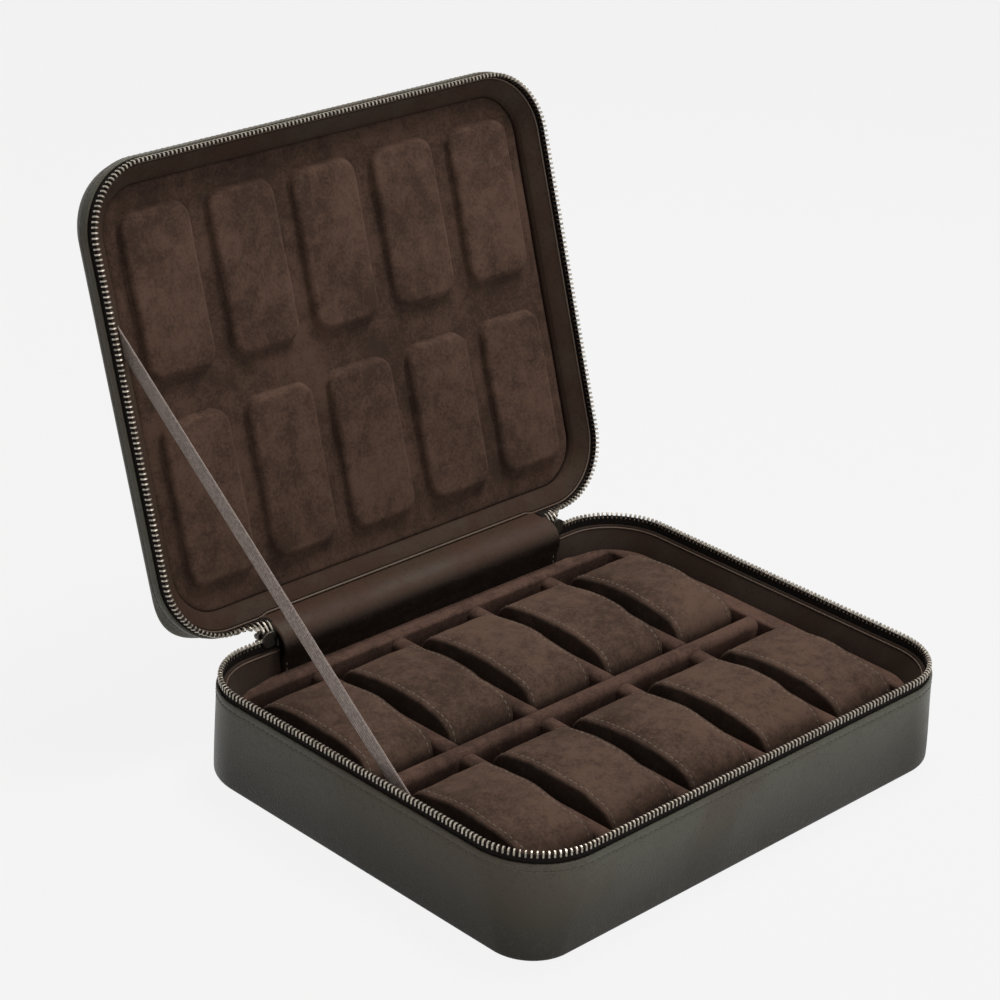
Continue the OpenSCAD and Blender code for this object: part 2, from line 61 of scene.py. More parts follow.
# The case's sizes in millimetres, the same as in the solids
CASE_W = 310.0
CASE_D = 245.0
CORNER_R = 38.0
MID_X = CASE_W / 2 - CORNER_R
MID_Y = CASE_D / 2 - CORNER_R
BASE_H = 46.5
LID_H = 12.5
CLOSED_H = 73.1
LID_RIM = 60.6
LEATHER_T = 1.6
SLIP = 0.1
HINGE_Y = 125.5
HINGE_Z = 54.1
OPEN_ANGLE = math.radians(108.0)
FLOOR_TOP = 6.0
BOARD_TOP = 37.7

# Leather: the rim it turns over, its edges, its sewn grooves and its squarer corners
RIM_TOP = 48.2
TURNED_R = 0.85
TURN_IN = 16.0
BASE_EDGE_R = 2.0
LID_EDGE_R = 9.0
BASE_GROOVE = RIM_TOP - 3.8
LID_GROOVE = LID_H - 4.6
FOOT_SQUARE = (14.0, 2.0, 4.0, 2.0)
FOOT_SQUARE_H = BASE_H - 3.0
LID_SQUARE = (5.0, 16.0, 7.0, 7.0)
LID_SQUARE_H = LID_H - 5.2
SQUARE_FROM = 22.0
SQUARE_OVER = 12.0

# Stitches: width and height, with the length before them where a user can't change it
RIM_STITCH = (0.62, 0.5)
RIM_STITCH_SLANT = 0.1
CUSHION_STITCH = (2.3, 0.5, 0.42)
CUSHION_STITCH_PITCH = 3.6
HINGE_STITCH = (2.3, 0.55, 0.45)
HINGE_STITCH_PITCH = 3.2

# Zip: tapes, teeth, and the chain from its ends beside the hinge strip to the middle of the front
STRIP_W = 194.0
TAPE_T = 0.8
TAPE_IN = 1.7
TAPE_BITE = 2.2
LID_TAPE_FOOT = 9.5
ZIP_IN = 2.1
BASE_ROOT = 50.1
LID_ROOT = 15.0
TOOTH_H = 4.0
TOOTH_W = 2.6
TOOTH_BITE = 0.25
CHAIN_END = 100.0
CHAIN_R = CORNER_R - ZIP_IN
ARC_L = CHAIN_R * math.pi / 2
BACK_L = MID_X - CHAIN_END
CHAIN_L = BACK_L + 2 * ARC_L + 2 * MID_Y + MID_X
HALF_COUNT = 160
TOOTH_PITCH = CHAIN_L / HALF_COUNT
LID_FIRST = 7
ZIP_END_L = 16.5

# Linings and tray
LINING_IN = 2.6
LINING_BACK = 4.1
COLLAR_IN = 8.5
COLLAR_TOP = 48.7
COLLAR_BEAD_R = 1.15
COLLAR_BEAD_DROP = 1.0
COLLAR_FADE = 24.0
TRAY_TOP = 36.0
TRAY_R = 1.6
CAVITY_X = 133.0
CAVITY_FRONT = -104.5
CAVITY_BACK = 103.5
DIVIDER_Y = -0.5
COLUMN_PITCH = 55.2
DIVIDER_T = 10.0
ROW_L = 99.0
CROSS_TOP = 35.2
ROW_Y = {"front": -55.0, "rear": 54.0}

# Cushions
CUSHION_W = 44.6
CUSHION_L = 82.0
CUSHION_FOOT = 6.3
CUSHION_H = 39.0
CUSHION_ARCH_R = 114.0
CUSHION_END_R = 12.0
CUSHION_FOOT_R = 3.0
CUSHION_EDGE_R = 1.5
CUSHION_SHIFT = -1.5
FILL_VOXEL = 4.2
FILL_FRAMES = 20
FILL = {
    "quality": 6,
    "mass": 0.25,
    "tension_stiffness": 14,
    "compression_stiffness": 12,
    "bending_stiffness": 0.5,
    "use_pressure": True,
    "uniform_pressure_force": 4,
}

# Lid's border, its panel and the panel's pads
BORDER_FOOT = 7.5
BORDER_FOOT_R = 1.5
PANEL_IN = 13.2
PANEL_W = CASE_W / 2 - PANEL_IN
PANEL_D = CASE_D / 2 - PANEL_IN
PANEL_R = CORNER_R - PANEL_IN
PANEL_ROLL = 1.4
PANEL_FOOT = 4.1
PANEL_GROUND = 6.2
PAD_TOP = 10.5
PAD_W = 43.2
PAD_L = 84.5
PAD_R = 9.0
PAD_EDGE_R = 3.0
PAD_ROW_GAP = 22.0

# Hinge lining and stay ribbon, whose ends are the (y, z) of their two edges
GUSSET_T = 1.2
GUSSET_W = 198.0
RIBBON_W = 9
RIBBON_LOW = np.array([(-33.28, 36.41), (-38.72, 43.59)])
RIBBON_HIGH = np.array([(180.70, 198.74), (185.57, 213.73)])

# Camera: degrees, millimetres, and its focal length in pixels of a frame RENDER_W wide
CAMERA_AZ = -45.775
CAMERA_EL = 25.187
CAMERA_ROLL = 2.974
CAMERA_TARGET = (37.186, 98.328, 97.453)
CAMERA_AWAY = 1531.461
CAMERA_FOCUS = 2917.007
RENDER_W = 1000
SENSOR_W = 36


# Places and lines


def lid_place(points, share=1.0):
    """Turns points of the lid, drawn upside down from its outer face at 0, to where they stand
    with the lid open by a share of its full angle: flip, then turn about the hinge line."""
    y = points[..., 1] - HINGE_Y
    z = CLOSED_H - HINGE_Z - points[..., 2]
    turn_c, turn_s = np.cos(OPEN_ANGLE * share), np.sin(OPEN_ANGLE * share)
    return np.stack(
        [points[..., 0], HINGE_Y + y * turn_c + z * turn_s, HINGE_Z - y * turn_s + z * turn_c], -1
    )


def eased(share):
    """A share from 0 to 1, eased at both ends: three times its square less twice its cube."""
    return share * share * (3 - 2 * share)


def zip_end_place(points):
    """Turns points of the lid's zip beside the hinge strip. Its edge on the lid opens with the
    lid and its meeting edge stays by the base, over the last stretch of the chain."""
    along = np.clip((np.abs(points[..., 0]) - CHAIN_END) / ZIP_END_L, 0, 1)
    down = np.clip((points[..., 2] - LID_H) / (LID_ROOT + TOOTH_H - LID_H), 0, 1)
    return lid_place(points, eased(1 - down * (1 - along)))


def opened(y, z):
    """Where a point of the closed lid stands with the lid open, as (y, z)."""
    return lid_place(np.array([0.0, y, CLOSED_H - z]))[1:]


def unit(vectors, tiny=0.0):
    """Vectors made one long."""
    return vectors / (np.linalg.norm(vectors, axis=-1, keepdims=True) + tiny)


def run_along(path):
    """Distance along a path to each of its points, from 0."""
    return np.concatenate([[0], np.cumsum(np.linalg.norm(np.diff(path, axis=0), axis=1))])


def read_off(s, run, values):
    """Values kept along a path, read off at distances s."""
    return np.stack([np.interp(s, run, column) for column in values.T], -1)


def heading(a):
    """Directions at angles a."""
    return np.stack([np.cos(a), np.sin(a)], -1)


def arc(cx, cy, r, a0, a1, n):
    """Points of an arc, with its angles in degrees."""
    return np.array([cx, cy]) + r * heading(np.radians(np.linspace(a0, a1, n)))


def case_line(step, gap=0.0, corner=28):
    """Line round the case's leather, clockwise from the middle of the back: straight runs and
    quarter circles joined, closed, or open by a gap to either side of that middle. Returns
    places, outward normals and distances along."""
    half_w, half_d = CASE_W / 2, CASE_D / 2

    def straight(a, b, normal, first=False):
        count = max(2, int(math.ceil(math.hypot(b[0] - a[0], b[1] - a[1]) / step)) + 1)
        t = np.linspace(0, 1, count)[0 if first else 1 :, None]
        place = np.array(a) * (1 - t) + np.array(b) * t
        return place, np.tile(np.array(normal, float), (len(t), 1))

    def bend(x, y, a0, a1):
        normal = heading(np.radians(np.linspace(a0, a1, corner + 1)[1:]))
        return np.array([x, y]) + CORNER_R * normal, normal

    parts = [
        straight((gap, half_d), (MID_X, half_d), (0, 1), True),
        bend(MID_X, MID_Y, 90, 0),
        straight((half_w, MID_Y), (half_w, -MID_Y), (1, 0)),
        bend(MID_X, -MID_Y, 0, -90),
        straight((MID_X, -half_d), (-MID_X, -half_d), (0, -1)),
        bend(-MID_X, -MID_Y, -90, -180),
        straight((-half_w, -MID_Y), (-half_w, MID_Y), (-1, 0)),
        bend(-MID_X, MID_Y, 180, 90),
        straight((-MID_X, half_d), (-gap, half_d), (0, 1)),
    ]
    place, normal = (np.concatenate(part) for part in zip(*parts))
    if gap == 0:
        return place[:-1], normal[:-1], run_along(place)
    return place, normal, run_along(place)


def matched_rectangle(half_w, half_d, radius, centre_y, z, sides, corner):
    """One ring of a rounded rectangle with a fixed count of points on each side and corner."""
    mx, my = half_w - radius, half_d - radius
    centres = [(mx, my, 90, 0), (mx, -my, 0, -90), (-mx, -my, -90, -180), (-mx, my, 180, 90)]
    bends = [arc(cx, cy, radius, a0, a1, corner + 1) for cx, cy, a0, a1 in centres]
    parts = []
    for k in range(4):
        a, b = bends[k - 1][-1], bends[k][0]
        t = np.linspace(0, 1, sides + 1)[1:-1, None]
        parts += [a * (1 - t) + b * t, bends[k]]
    place = np.concatenate(parts) + np.array([0, centre_y])
    return np.concatenate([place, np.full((len(place), 1), float(z))], -1)


def matched_ring(inset, z, corner):
    """A matched rectangle set in from the case's face."""
    radius = max(CORNER_R - inset, 2.0)
    return matched_rectangle(CASE_W / 2 - inset, CASE_D / 2 - inset, radius, 0.0, z, 30, corner)


def chain_places(s):
    """Places, outward normals and directions along the zip at distances s from its end beside
    the hinge strip: straight back, quarter arc, side, quarter arc, front."""
    t1 = np.clip((s - BACK_L) / ARC_L, 0, 1)
    t2 = np.clip((s - BACK_L - ARC_L - 2 * MID_Y) / ARC_L, 0, 1)
    normal = heading(np.radians(90 - 90 * t1 - 90 * t2))
    x = np.select(
        [s < BACK_L, s < BACK_L + 2 * ARC_L + 2 * MID_Y],
        [CHAIN_END + s, MID_X + CHAIN_R * normal[:, 0]],
        CHAIN_L - s,
    )
    y = MID_Y - np.clip(s - BACK_L - ARC_L, 0, 2 * MID_Y) + CHAIN_R * normal[:, 1]
    along = np.stack([normal[..., 1], -normal[..., 0]], -1)
    return np.stack([x, y], -1), normal, along


# Meshes


def make_mesh(name, points, polygons, flow=None, smooth=True):
    """Puts points in millimetres and polygons, each an array of corners of equal length, into a
    mesh object at the origin. flow is one texture coordinate for each corner."""
    corner = np.concatenate([p.reshape(-1) for p in polygons]).astype(np.int32)
    total = np.concatenate([np.full(len(p), p.shape[1]) for p in polygons])
    start = np.concatenate([[0], np.cumsum(total)[:-1]]).astype(np.int32)
    mesh = bpy.data.meshes.new(name)
    mesh.vertices.add(len(points))
    mesh.vertices.foreach_set("co", (points * MM).astype(np.float32).reshape(-1))
    mesh.loops.add(len(corner))
    mesh.loops.foreach_set("vertex_index", corner)
    mesh.polygons.add(len(total))
    mesh.polygons.foreach_set("loop_start", start)
    mesh.update(calc_edges=True)
    if flow is not None:
        layer = mesh.uv_layers.new(name="Flow")
        layer.data.foreach_set("uv", flow.astype(np.float32).reshape(-1))
    mesh.validate()
    made = bmesh.new()
    made.from_mesh(mesh)
    bmesh.ops.recalc_face_normals(made, faces=made.faces)
    made.to_mesh(mesh)
    made.free()
    mesh.polygons.foreach_set("use_smooth", np.full(len(mesh.polygons), smooth))
    piece = bpy.data.objects.new(name, mesh)
    bpy.context.collection.objects.link(piece)
    return piece


def tube_quads(n, m, ring=False):
    """Corners of the quads between n closed sections of m points, joined round if ring, and for
    each corner the number of its section and of its point, for a flow map."""
    i, j = np.meshgrid(np.arange(n if ring else n - 1), np.arange(m), indexing="ij")
    i2, j2 = (i + 1) % n, (j + 1) % m
    quads = np.stack([i * m + j, i2 * m + j, i2 * m + j2, i * m + j2], -1).reshape(-1, 4)
    flow_i = np.stack([i, i + 1, i + 1, i], -1).reshape(-1, 4)
    flow_j = np.stack([j, j, j + 1, j + 1], -1).reshape(-1, 4)
    return quads, flow_i, flow_j


def tube_ends(n, m):
    """Corners of the two faces that close n sections of m points."""
    return np.stack([np.arange(m), np.arange(m) + (n - 1) * m])


def tube(name, points, flow=None, ring=False):
    """A closed skin through sections of equal count, joined round if ring, or closed by a face
    at both ends."""
    n, m = points.shape[:2]
    polygons = [tube_quads(n, m, ring)[0]] + ([] if ring else [tube_ends(n, m)])
    return make_mesh(name, points.reshape(-1, 3), polygons, flow)


def carry(name, profile, line, ring=True, turn=None):
    """A closed profile carried round a line, as one closed skin with ends where it stops: the
    line's place, plus its outward normal times the profile's first number, at the height of its
    second. turn moves the points to where they stand."""
    place, normal, run = line
    sections = np.broadcast_to(profile, (len(place),) + profile.shape[-2:])
    flat = place[:, None, :] + normal[:, None, :] * sections[..., :1]
    points = np.concatenate([flat, sections[..., 1:]], -1)
    n, m = points.shape[:2]
    _, fi, fj = tube_quads(n, m, ring)
    section = profile if profile.ndim == 2 else profile[0]
    across = run_along(np.concatenate([section, section[:1]]))
    flow = np.stack([run[fi], across[fj]], -1).reshape(-1, 2)
    if not ring:
        flow = np.concatenate([flow, np.zeros((2 * m, 2))])
    return tube(name, turn(points) if turn else points, flow, ring)


def waves(points, seed, size, count=7):
    """Slow uneven swell of about +-1: a sum of plane waves with random directions and phases."""
    rng = np.random.default_rng(seed)
    turn = rng.normal(size=(count, 3))
    turn /= np.linalg.norm(turn, axis=1, keepdims=True)
    pace = rng.uniform(0.6, 1.7, count) * 2 * math.pi / size
    phase = rng.uniform(0, 2 * math.pi, count)
    return np.sin(points @ (turn * pace[:, None]).T + phase).sum(-1) / math.sqrt(count * 2)


def stitch_template(length, width, height):
    """One stitch: a short rounded bar of six sides, thin at both ends, along the first axis."""
    along = np.array([-0.5, -0.36, -0.12, 0.12, 0.36, 0.5]) * length
    size = np.array([0.3, 0.85, 1.0, 1.0, 0.85, 0.3])
    lift = np.array([-0.35, 0.0, 0.12, 0.12, 0.0, -0.35]) * height
    a = np.radians(np.arange(6) * 60 + 30)
    wide = np.outer(size, np.cos(a) * width / 2)
    high = np.outer(size, np.sin(a) * height / 2) + lift[:, None]
    points = np.stack([np.repeat(along, 6), wide.reshape(-1), high.reshape(-1)], -1)
    return points, tube_quads(6, 6)[0], tube_ends(6, 6)


def repeated(name, template, places, axes, turn=None, smooth=True):
    """Copies of a small shape: each copy's point is its place plus the shape's three lengths
    along its own three directions."""
    points, *polygons = template
    moved = places[:, None, :] + np.einsum("pk,nkc->npc", points, axes)
    moved = moved.reshape(-1, 3)
    shift = np.arange(len(places)) * len(points)
    faces = [(p[None] + shift[:, None, None]).reshape(-1, p.shape[1]) for p in polygons]
    return make_mesh(name, turn(moved) if turn else moved, faces, None, smooth)


def along_line(line, pitch, inset, height):
    """Evenly spaced places on a closed line, with their directions along, outwards and up."""
    place, normal = (np.concatenate([part, part[:1]]) for part in line[:2])
    run = line[2]
    count = int(run[-1] // pitch)
    s = (np.arange(count) + 0.5) * run[-1] / count
    out = unit(read_off(s, run, normal))
    at = read_off(s, run, place) + out * inset
    places = np.concatenate([at, np.full((count, 1), height)], -1)
    outward = np.concatenate([out, np.zeros((count, 1))], -1)
    along = np.stack([out[:, 1], -out[:, 0], np.zeros(count)], -1)
    return places, along, outward, np.tile([0.0, 0.0, 1.0], (count, 1))


# Materials


def feed(tree, made, inputs):
    """Sets a node's inputs by name or number: each is a socket to link, or a plain value."""
    for key, value in inputs.items():
        if hasattr(value, "is_linked"):
            tree.links.new(value, made.inputs[key])
        else:
            made.inputs[key].default_value = value


def node(tree, kind, inputs=None, **settings):
    """Adds a node with its plain settings and its inputs."""
    made = tree.nodes.new(kind)
    for key, value in settings.items():
        setattr(made, key, value)
    feed(tree, made, inputs or {})
    return made


def maths(tree, work, a, b=None):
    """Adds a Math node on one or two sockets or numbers."""
    inputs = {0: a} if b is None else {0: a, 1: b}
    return node(tree, "ShaderNodeMath", inputs, operation=work).outputs[0]


def weighted(tree, *terms):
    """Adds up sockets times their weights."""
    total, *others = [maths(tree, "MULTIPLY", value, weight) for value, weight in terms]
    for part in others:
        total = maths(tree, "ADD", total, part)
    return total


def noise(tree, vector, scale, detail=2.0, rough=0.5, stretch=None, distortion=0.0):
    """Adds a Noise Texture on a vector, stretched if asked."""
    if stretch:
        vector = node(tree, "ShaderNodeMapping", {"Scale": stretch, "Vector": vector}).outputs[0]
    inputs = {"Vector": vector, "Scale": scale, "Detail": detail}
    inputs |= {"Roughness": rough, "Distortion": distortion}
    return node(tree, "ShaderNodeTexNoise", inputs).outputs["Fac"]


def between(tree, value, low, high, to_low=0.0, to_high=1.0):
    """Adds a clamped, eased Map Range."""
    inputs = {"Value": value, "From Min": low, "From Max": high}
    inputs |= {"To Min": to_low, "To Max": to_high}
    return node(tree, "ShaderNodeMapRange", inputs, interpolation_type="SMOOTHSTEP").outputs[0]


def mixed(tree, share, a, b):
    """Adds a colour mix by a share. The colours are sockets or plain colours."""
    made = node(tree, "ShaderNodeMix", {"Factor": share}, data_type="RGBA")
    for target, value in zip([s for s in made.inputs if s.type == "RGBA"], (a, b)):
        if hasattr(value, "is_linked"):
            tree.links.new(value, target)
        else:
            target.default_value = (*value, 1.0)
    return next(s for s in made.outputs if s.type == "RGBA")


def split_axis(tree, vector, axis):
    """One axis of a vector."""
    return node(tree, "ShaderNodeSeparateXYZ", {0: vector}).outputs[axis]


def coordinate(tree, kind="Object"):
    """A Texture Coordinate output: Object, or the piece's own flow map."""
    if kind == "Object":
        return node(tree, "ShaderNodeTexCoord").outputs["Object"]
    return node(tree, "ShaderNodeUVMap", uv_map="Flow").outputs[0]


def new_group(name, scales, outputs):
    """An empty shader node group with a vector and named scales going in, and values coming
    out. Returns it with its vector, its scales and its output node."""
    group = bpy.data.node_groups.new(name, "ShaderNodeTree")
    group.interface.new_socket(name="Vector", in_out="INPUT", socket_type="NodeSocketVector")
    for key, value in scales.items():
        made = group.interface.new_socket(name=key, in_out="INPUT", socket_type="NodeSocketFloat")
        made.default_value = value
    for key in outputs:
        group.interface.new_socket(name=key, in_out="OUTPUT", socket_type="NodeSocketFloat")
    start = group.nodes.new("NodeGroupInput").outputs
    return group, start["Vector"], [start[k] for k in scales], group.nodes.new("NodeGroupOutput")


def leather_grain_group():
    """Leather grain: small cells, pores and creases as a height, slow patches of tone and the
    creases as masks."""
    scales = {"Cell scale": 900.0, "Patch scale": 22.0}
    outputs = ("Height", "Patches", "Creases")
    group, vector, (cell, patch), end = new_group("Leather grain", scales, outputs)
    drift = node(group, "ShaderNodeTexNoise", {"Scale": 350.0, "Vector": vector})
    inputs = {0: drift.outputs["Color"], 1: (0.0016, 0.0016, 0.0016), 2: vector}
    wobble = node(group, "ShaderNodeVectorMath", inputs, operation="MULTIPLY_ADD").outputs[0]
    inputs = {"Smoothness": 0.35, "Vector": wobble, "Scale": cell}
    cells = node(group, "ShaderNodeTexVoronoi", inputs, feature="SMOOTH_F1").outputs["Distance"]
    pores = noise(group, vector, 2600.0, 3.0, 0.6)
    long = maths(group, "SUBTRACT", noise(group, vector, 130.0, 4.0, 0.6), 0.5)
    creases = between(group, maths(group, "ABSOLUTE", long), 0.0, 0.03)
    patches = between(group, noise(group, vector, patch, 5.0, 0.6, None, 0.6), 0.36, 0.66)
    height = weighted(group, (cells, -0.8), (pores, 0.35), (creases, 0.12))
    feed(group, end, {"Height": height, "Patches": patches, "Creases": creases})
    return group


def suede_nap_group():
    """Suede nap: brushed streaks and patches as a tone, short fibres as a height."""
    scales = {"Brush scale": 60.0}
    group, vector, (brush,), end = new_group("Suede nap", scales, ("Tone", "Height"))
    brushed = noise(group, vector, brush, 6.0, 0.62, None, 0.35)
    fine = noise(group, vector, 620.0, 4.0, 0.75)
    fibre = noise(group, vector, 2600.0, 2.0, 0.7, (1.0, 0.45, 1.0))
    broad = noise(group, vector, 16.0)
    tone = between(group, weighted(group, (brushed, 0.35), (fine, 0.35), (broad, 0.3)), 0.4, 0.6)
    height = weighted(group, (fibre, 0.6), (fine, 0.5), (brushed, 0.5))
    feed(group, end, {"Tone": tone, "Height": height})
    return group


def weave_group():
    """Plain weave on a flow map in millimetres: crossed threads, each a sine's hump, over and
    under by turns as on a chessboard, as a height and a mask."""
    scales = {"Warp pitch": 0.5, "Weft pitch": 0.5}
    group, vector, pitches, end = new_group("Weave", scales, ("Height", "Thread"))
    humps, counts = [], []
    for axis, pitch in enumerate(pitches):
        turn = maths(group, "DIVIDE", split_axis(group, vector, axis), pitch)
        wave = maths(group, "SINE", maths(group, "MULTIPLY", turn, math.pi))
        humps.append(maths(group, "ABSOLUTE", wave))
        counts.append(maths(group, "FLOOR", turn))
    odd = maths(group, "ABSOLUTE", maths(group, "ADD", *counts))
    odd = maths(group, "MODULO", odd, 2.0)
    even = maths(group, "SUBTRACT", 1.0, odd)
    across, down = humps
    height = weighted(group, (across, odd), (down, even))
    rounding = maths(group, "ADD", maths(group, "MULTIPLY", across, 0.5), 0.5)
    height = maths(group, "MULTIPLY", height, rounding)
    feed(group, end, {"Height": height, "Thread": between(group, height, 0.15, 0.8)})
    return group


GROUPS = {}


def group_node(tree, maker, inputs):
    """Places a shared node group, built the first time, with its inputs."""
    if maker not in GROUPS:
        GROUPS[maker] = maker()
    return node(tree, "ShaderNodeGroup", inputs, node_tree=GROUPS[maker]).outputs


def new_material(name, rough, specular=0.5, metallic=0.0, sheen=0.0, sheen_tint=None):
    """A material with one Principled shader whose constant values are set on its sockets."""
    material = bpy.data.materials.new(name)
    material.use_nodes = True
    tree = material.node_tree
    shader = next(n for n in tree.nodes if n.type == "BSDF_PRINCIPLED")
    values = {"Roughness": rough, "Specular IOR Level": specular, "Metallic": metallic}
    if sheen:
        values |= {"Sheen Weight": sheen, "Sheen Roughness": 0.45}
        values["Sheen Tint"] = (*sheen_tint, 1.0)
    feed(tree, shader, values)
    return material, tree, shader


def cover(tree, shader, tone, height, distance, rough=None):
    """Feeds a colour, a height through a Bump node, and a roughness that changes, to a shader."""
    inputs = {"Distance": distance, "Strength": 1.0, "Height": height}
    bump = node(tree, "ShaderNodeBump", inputs).outputs[0]
    feed(tree, shader, {"Base Color": tone, "Normal": bump})
    if rough is not None:
        feed(tree, shader, {"Roughness": rough})


def linear(colour):
    """A screen colour of 0 to 255 as linear light."""
    c = np.array(colour, float) / 255
    return tuple(np.where(c <= 0.04045, c / 12.92, ((c + 0.055) / 1.055) ** 2.4))


def shade(colour, factor):
    """A colour made lighter or darker."""
    return tuple(c * factor for c in colour)


def leather_material(name, colour, cell, bump, rough, patch=14.0, specular=0.5, foot=None):
    """Smooth leather: warm and cool patches of tone, grain cells, and roughness that follows
    both. foot gives the coordinate and its axis, and the two values between which the leather
    goes from a painted shade to its own tone, and how dark that painted shade is."""
    material, tree, shader = new_material(name, rough, specular)
    inputs = {"Cell scale": cell, "Patch scale": patch, "Vector": coordinate(tree)}
    grain = group_node(tree, leather_grain_group, inputs)
    warm = tuple(np.array(colour) * (1.0, 0.88, 0.84))
    cool = tuple(np.array(colour) * (1.06, 1.12, 1.1))
    patches_and_shade = mixed(tree, grain["Patches"], warm, cool)
    # Painted shade: from the high value down to the low value the leather darkens to the given
    # depth
    if foot:
        kind, axis, low, high, dark = foot
        out_of_painted_shade = between(tree, split_axis(tree, coordinate(tree, kind), axis), low, high)
        patches_and_shade = mixed(tree, out_of_painted_shade, shade(colour, dark), patches_and_shade)
    dull = mixed(tree, grain["Creases"], shade(colour, 0.6), patches_and_shade)
    tone = mixed(tree, between(tree, grain["Height"], -0.55, 0.1), dull, patches_and_shade)
    uneven = between(tree, grain["Patches"], 0.0, 1.0, rough + 0.07, rough - 0.06)
    cover(tree, shader, tone, grain["Height"], bump, uneven)
    return material


def suede_material(name, colour, brush, painted_shade_level=None):
    """Suede: brushed patches of lighter and darker nap over short fibres. Its last value, when
    given, is how dark painted shade makes it where the flow map's first value is 0: down the
    cushions' sides and on the lid's ground between its pads."""
    sheen = shade(colour, 5.0)
    material, tree, shader = new_material(name, 0.95, 0.18, sheen=0.12, sheen_tint=sheen)
    nap = group_node(tree, suede_nap_group, {"Brush scale": brush, "Vector": coordinate(tree)})

    def nap_tone(level):
        return mixed(tree, nap["Tone"], shade(colour, 0.6 * level), shade(colour, 1.42 * level))

    tone = nap_tone(1.0)
    # Painted shade, mixed in by the flow map's first value
    if painted_shade_level:
        unshaded_share = split_axis(tree, coordinate(tree, "Flow"), "X")
        tone = mixed(tree, unshaded_share, nap_tone(painted_shade_level), tone)
    cover(tree, shader, tone, nap["Height"], 0.00026)
    return material


def woven_material(name, colour, warp, weft, bump, rough=0.8):
    """Woven tape: crossed threads on the flow map, darker between them and in worn patches."""
    sheen = shade(colour, 3.0)
    material, tree, shader = new_material(name, rough, 0.12, sheen=0.15, sheen_tint=sheen)
    inputs = {"Warp pitch": warp, "Weft pitch": weft, "Vector": coordinate(tree, "Flow")}
    weave = group_node(tree, weave_group, inputs)
    uneven = between(tree, noise(tree, coordinate(tree), 700.0, 3.0, 0.7), 0.42, 0.58, 0.0, 0.8)
    tone = mixed(tree, weave["Thread"], shade(colour, 0.5), shade(colour, 1.2))
    tone = mixed(tree, uneven, tone, shade(colour, 0.55))
    cover(tree, shader, tone, weave["Height"], bump)
    return material


def metal_material(name, colour, rough):
    """Aged metal: dark tarnish in patches, lighter where it is rubbed."""
    material, tree, shader = new_material(name, rough, 0.5, metallic=1.0)
    spot = noise(tree, coordinate(tree), 420.0, 4.0, 0.6)
    fine = noise(tree, coordinate(tree), 1800.0, 2.0, 0.6)
    age = between(tree, weighted(tree, (spot, 0.7), (fine, 0.3)), 0.36, 0.64)
    uneven = between(tree, age, 0.0, 1.0, rough + 0.16, rough - 0.05)
    cover(tree, shader, mixed(tree, age, shade(colour, 0.45), colour), fine, 0.00003, uneven)
    return material


def board_material(name, colour):
    """Pressed fibre board: mottled fibres with a rough face."""
    material, tree, shader = new_material(name, 0.9, 0.25)
    fibre = noise(tree, coordinate(tree), 700.0, 5.0, 0.7, (1.0, 1.0, 3.0))
    fleck = noise(tree, coordinate(tree), 160.0, 3.0, 0.6)
    tone = mixed(tree, between(tree, fibre, 0.35, 0.65), shade(colour, 0.7), shade(colour, 1.15))
    tone = mixed(tree, between(tree, fleck, 0.55, 0.75, 0.0, 0.5), tone, shade(colour, 0.5))
    cover(tree, shader, tone, fibre, 0.00012)
    return material


def thread_material(name, colour):
    """Sewing thread: a fine twist along the stitch."""
    sheen = shade(colour, 3.0)
    material, tree, shader = new_material(name, 0.6, 0.4, sheen=0.2, sheen_tint=sheen)
    twist = noise(tree, coordinate(tree), 3200.0, 2.0, 0.6, (1.0, 2.2, 0.6))
    tone = mixed(tree, between(tree, twist, 0.35, 0.65), shade(colour, 0.6), shade(colour, 1.3))
    cover(tree, shader, tone, twist, 0.00008)
    return material


BOARD_COLOUR = (110, 96, 78)
MATERIALS = {}


def finish(piece, material, body=None, replaces=()):
    """Gives a piece its material, its slot and its body, and hides the nodes it stands for."""
    piece.data.materials.clear()
    piece.data.materials.append(MATERIALS[material])
    if body:
        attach(piece, body)
    if replaces:
        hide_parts(*replaces)


def dress_node(name, material):
    """Gives a carried-over solid its material in every slot."""
    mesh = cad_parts[name].data
    if not mesh.materials:
        mesh.materials.append(None)
    for k in range(len(mesh.materials)):
        mesh.materials[k] = MATERIALS[material]


# Sizes and colours a user would change


def colour_property(name, description, colour):
    """A colour property in linear light."""
    values = {"name": name, "description": f"Colour of the {description}"}
    values |= {"subtype": "COLOR", "size": 3, "min": 0.0, "max": 1.0}
    return bpy.props.FloatVectorProperty(default=linear(colour), **values)


def length_property(name, description, millimetres):
    """A length property in metres."""
    values = {"name": name, "description": description, "default": millimetres * MM}
    return bpy.props.FloatProperty(unit="LENGTH", min=0.0, precision=5, **values)


def power_property(name, description, watts):
    """A lamp's power in watts."""
    return bpy.props.FloatProperty(name=name, description=description, default=watts, min=0.0)


class LeatherSettings(bpy.types.PropertyGroup):
    """Outside leather and its stitches."""

    colour: colour_property("Colour", "outside leather", (85, 82, 72))
    lining: colour_property("Lining colour", "smooth lining leather", (46, 36, 30))
    border: colour_property("Border colour", "lid's leather border", (61, 48, 40))
    hinge: colour_property("Hinge colour", "lining over the hinge", (66, 51, 42))
    # The edge colour is lighter than the lining's: a real turned edge, its lightness partly a
    # painted highlight
    edge: colour_property("Edge colour", "turned edge of the linings", (84, 68, 56))
    thread: colour_property("Thread colour", "sewing thread", (112, 102, 90))
    stitch_pitch: length_property("Stitch pitch", "Distance from one stitch to the next", 3.5)
    stitch_length: length_property("Stitch length", "Length of one stitch that shows", 2.6)


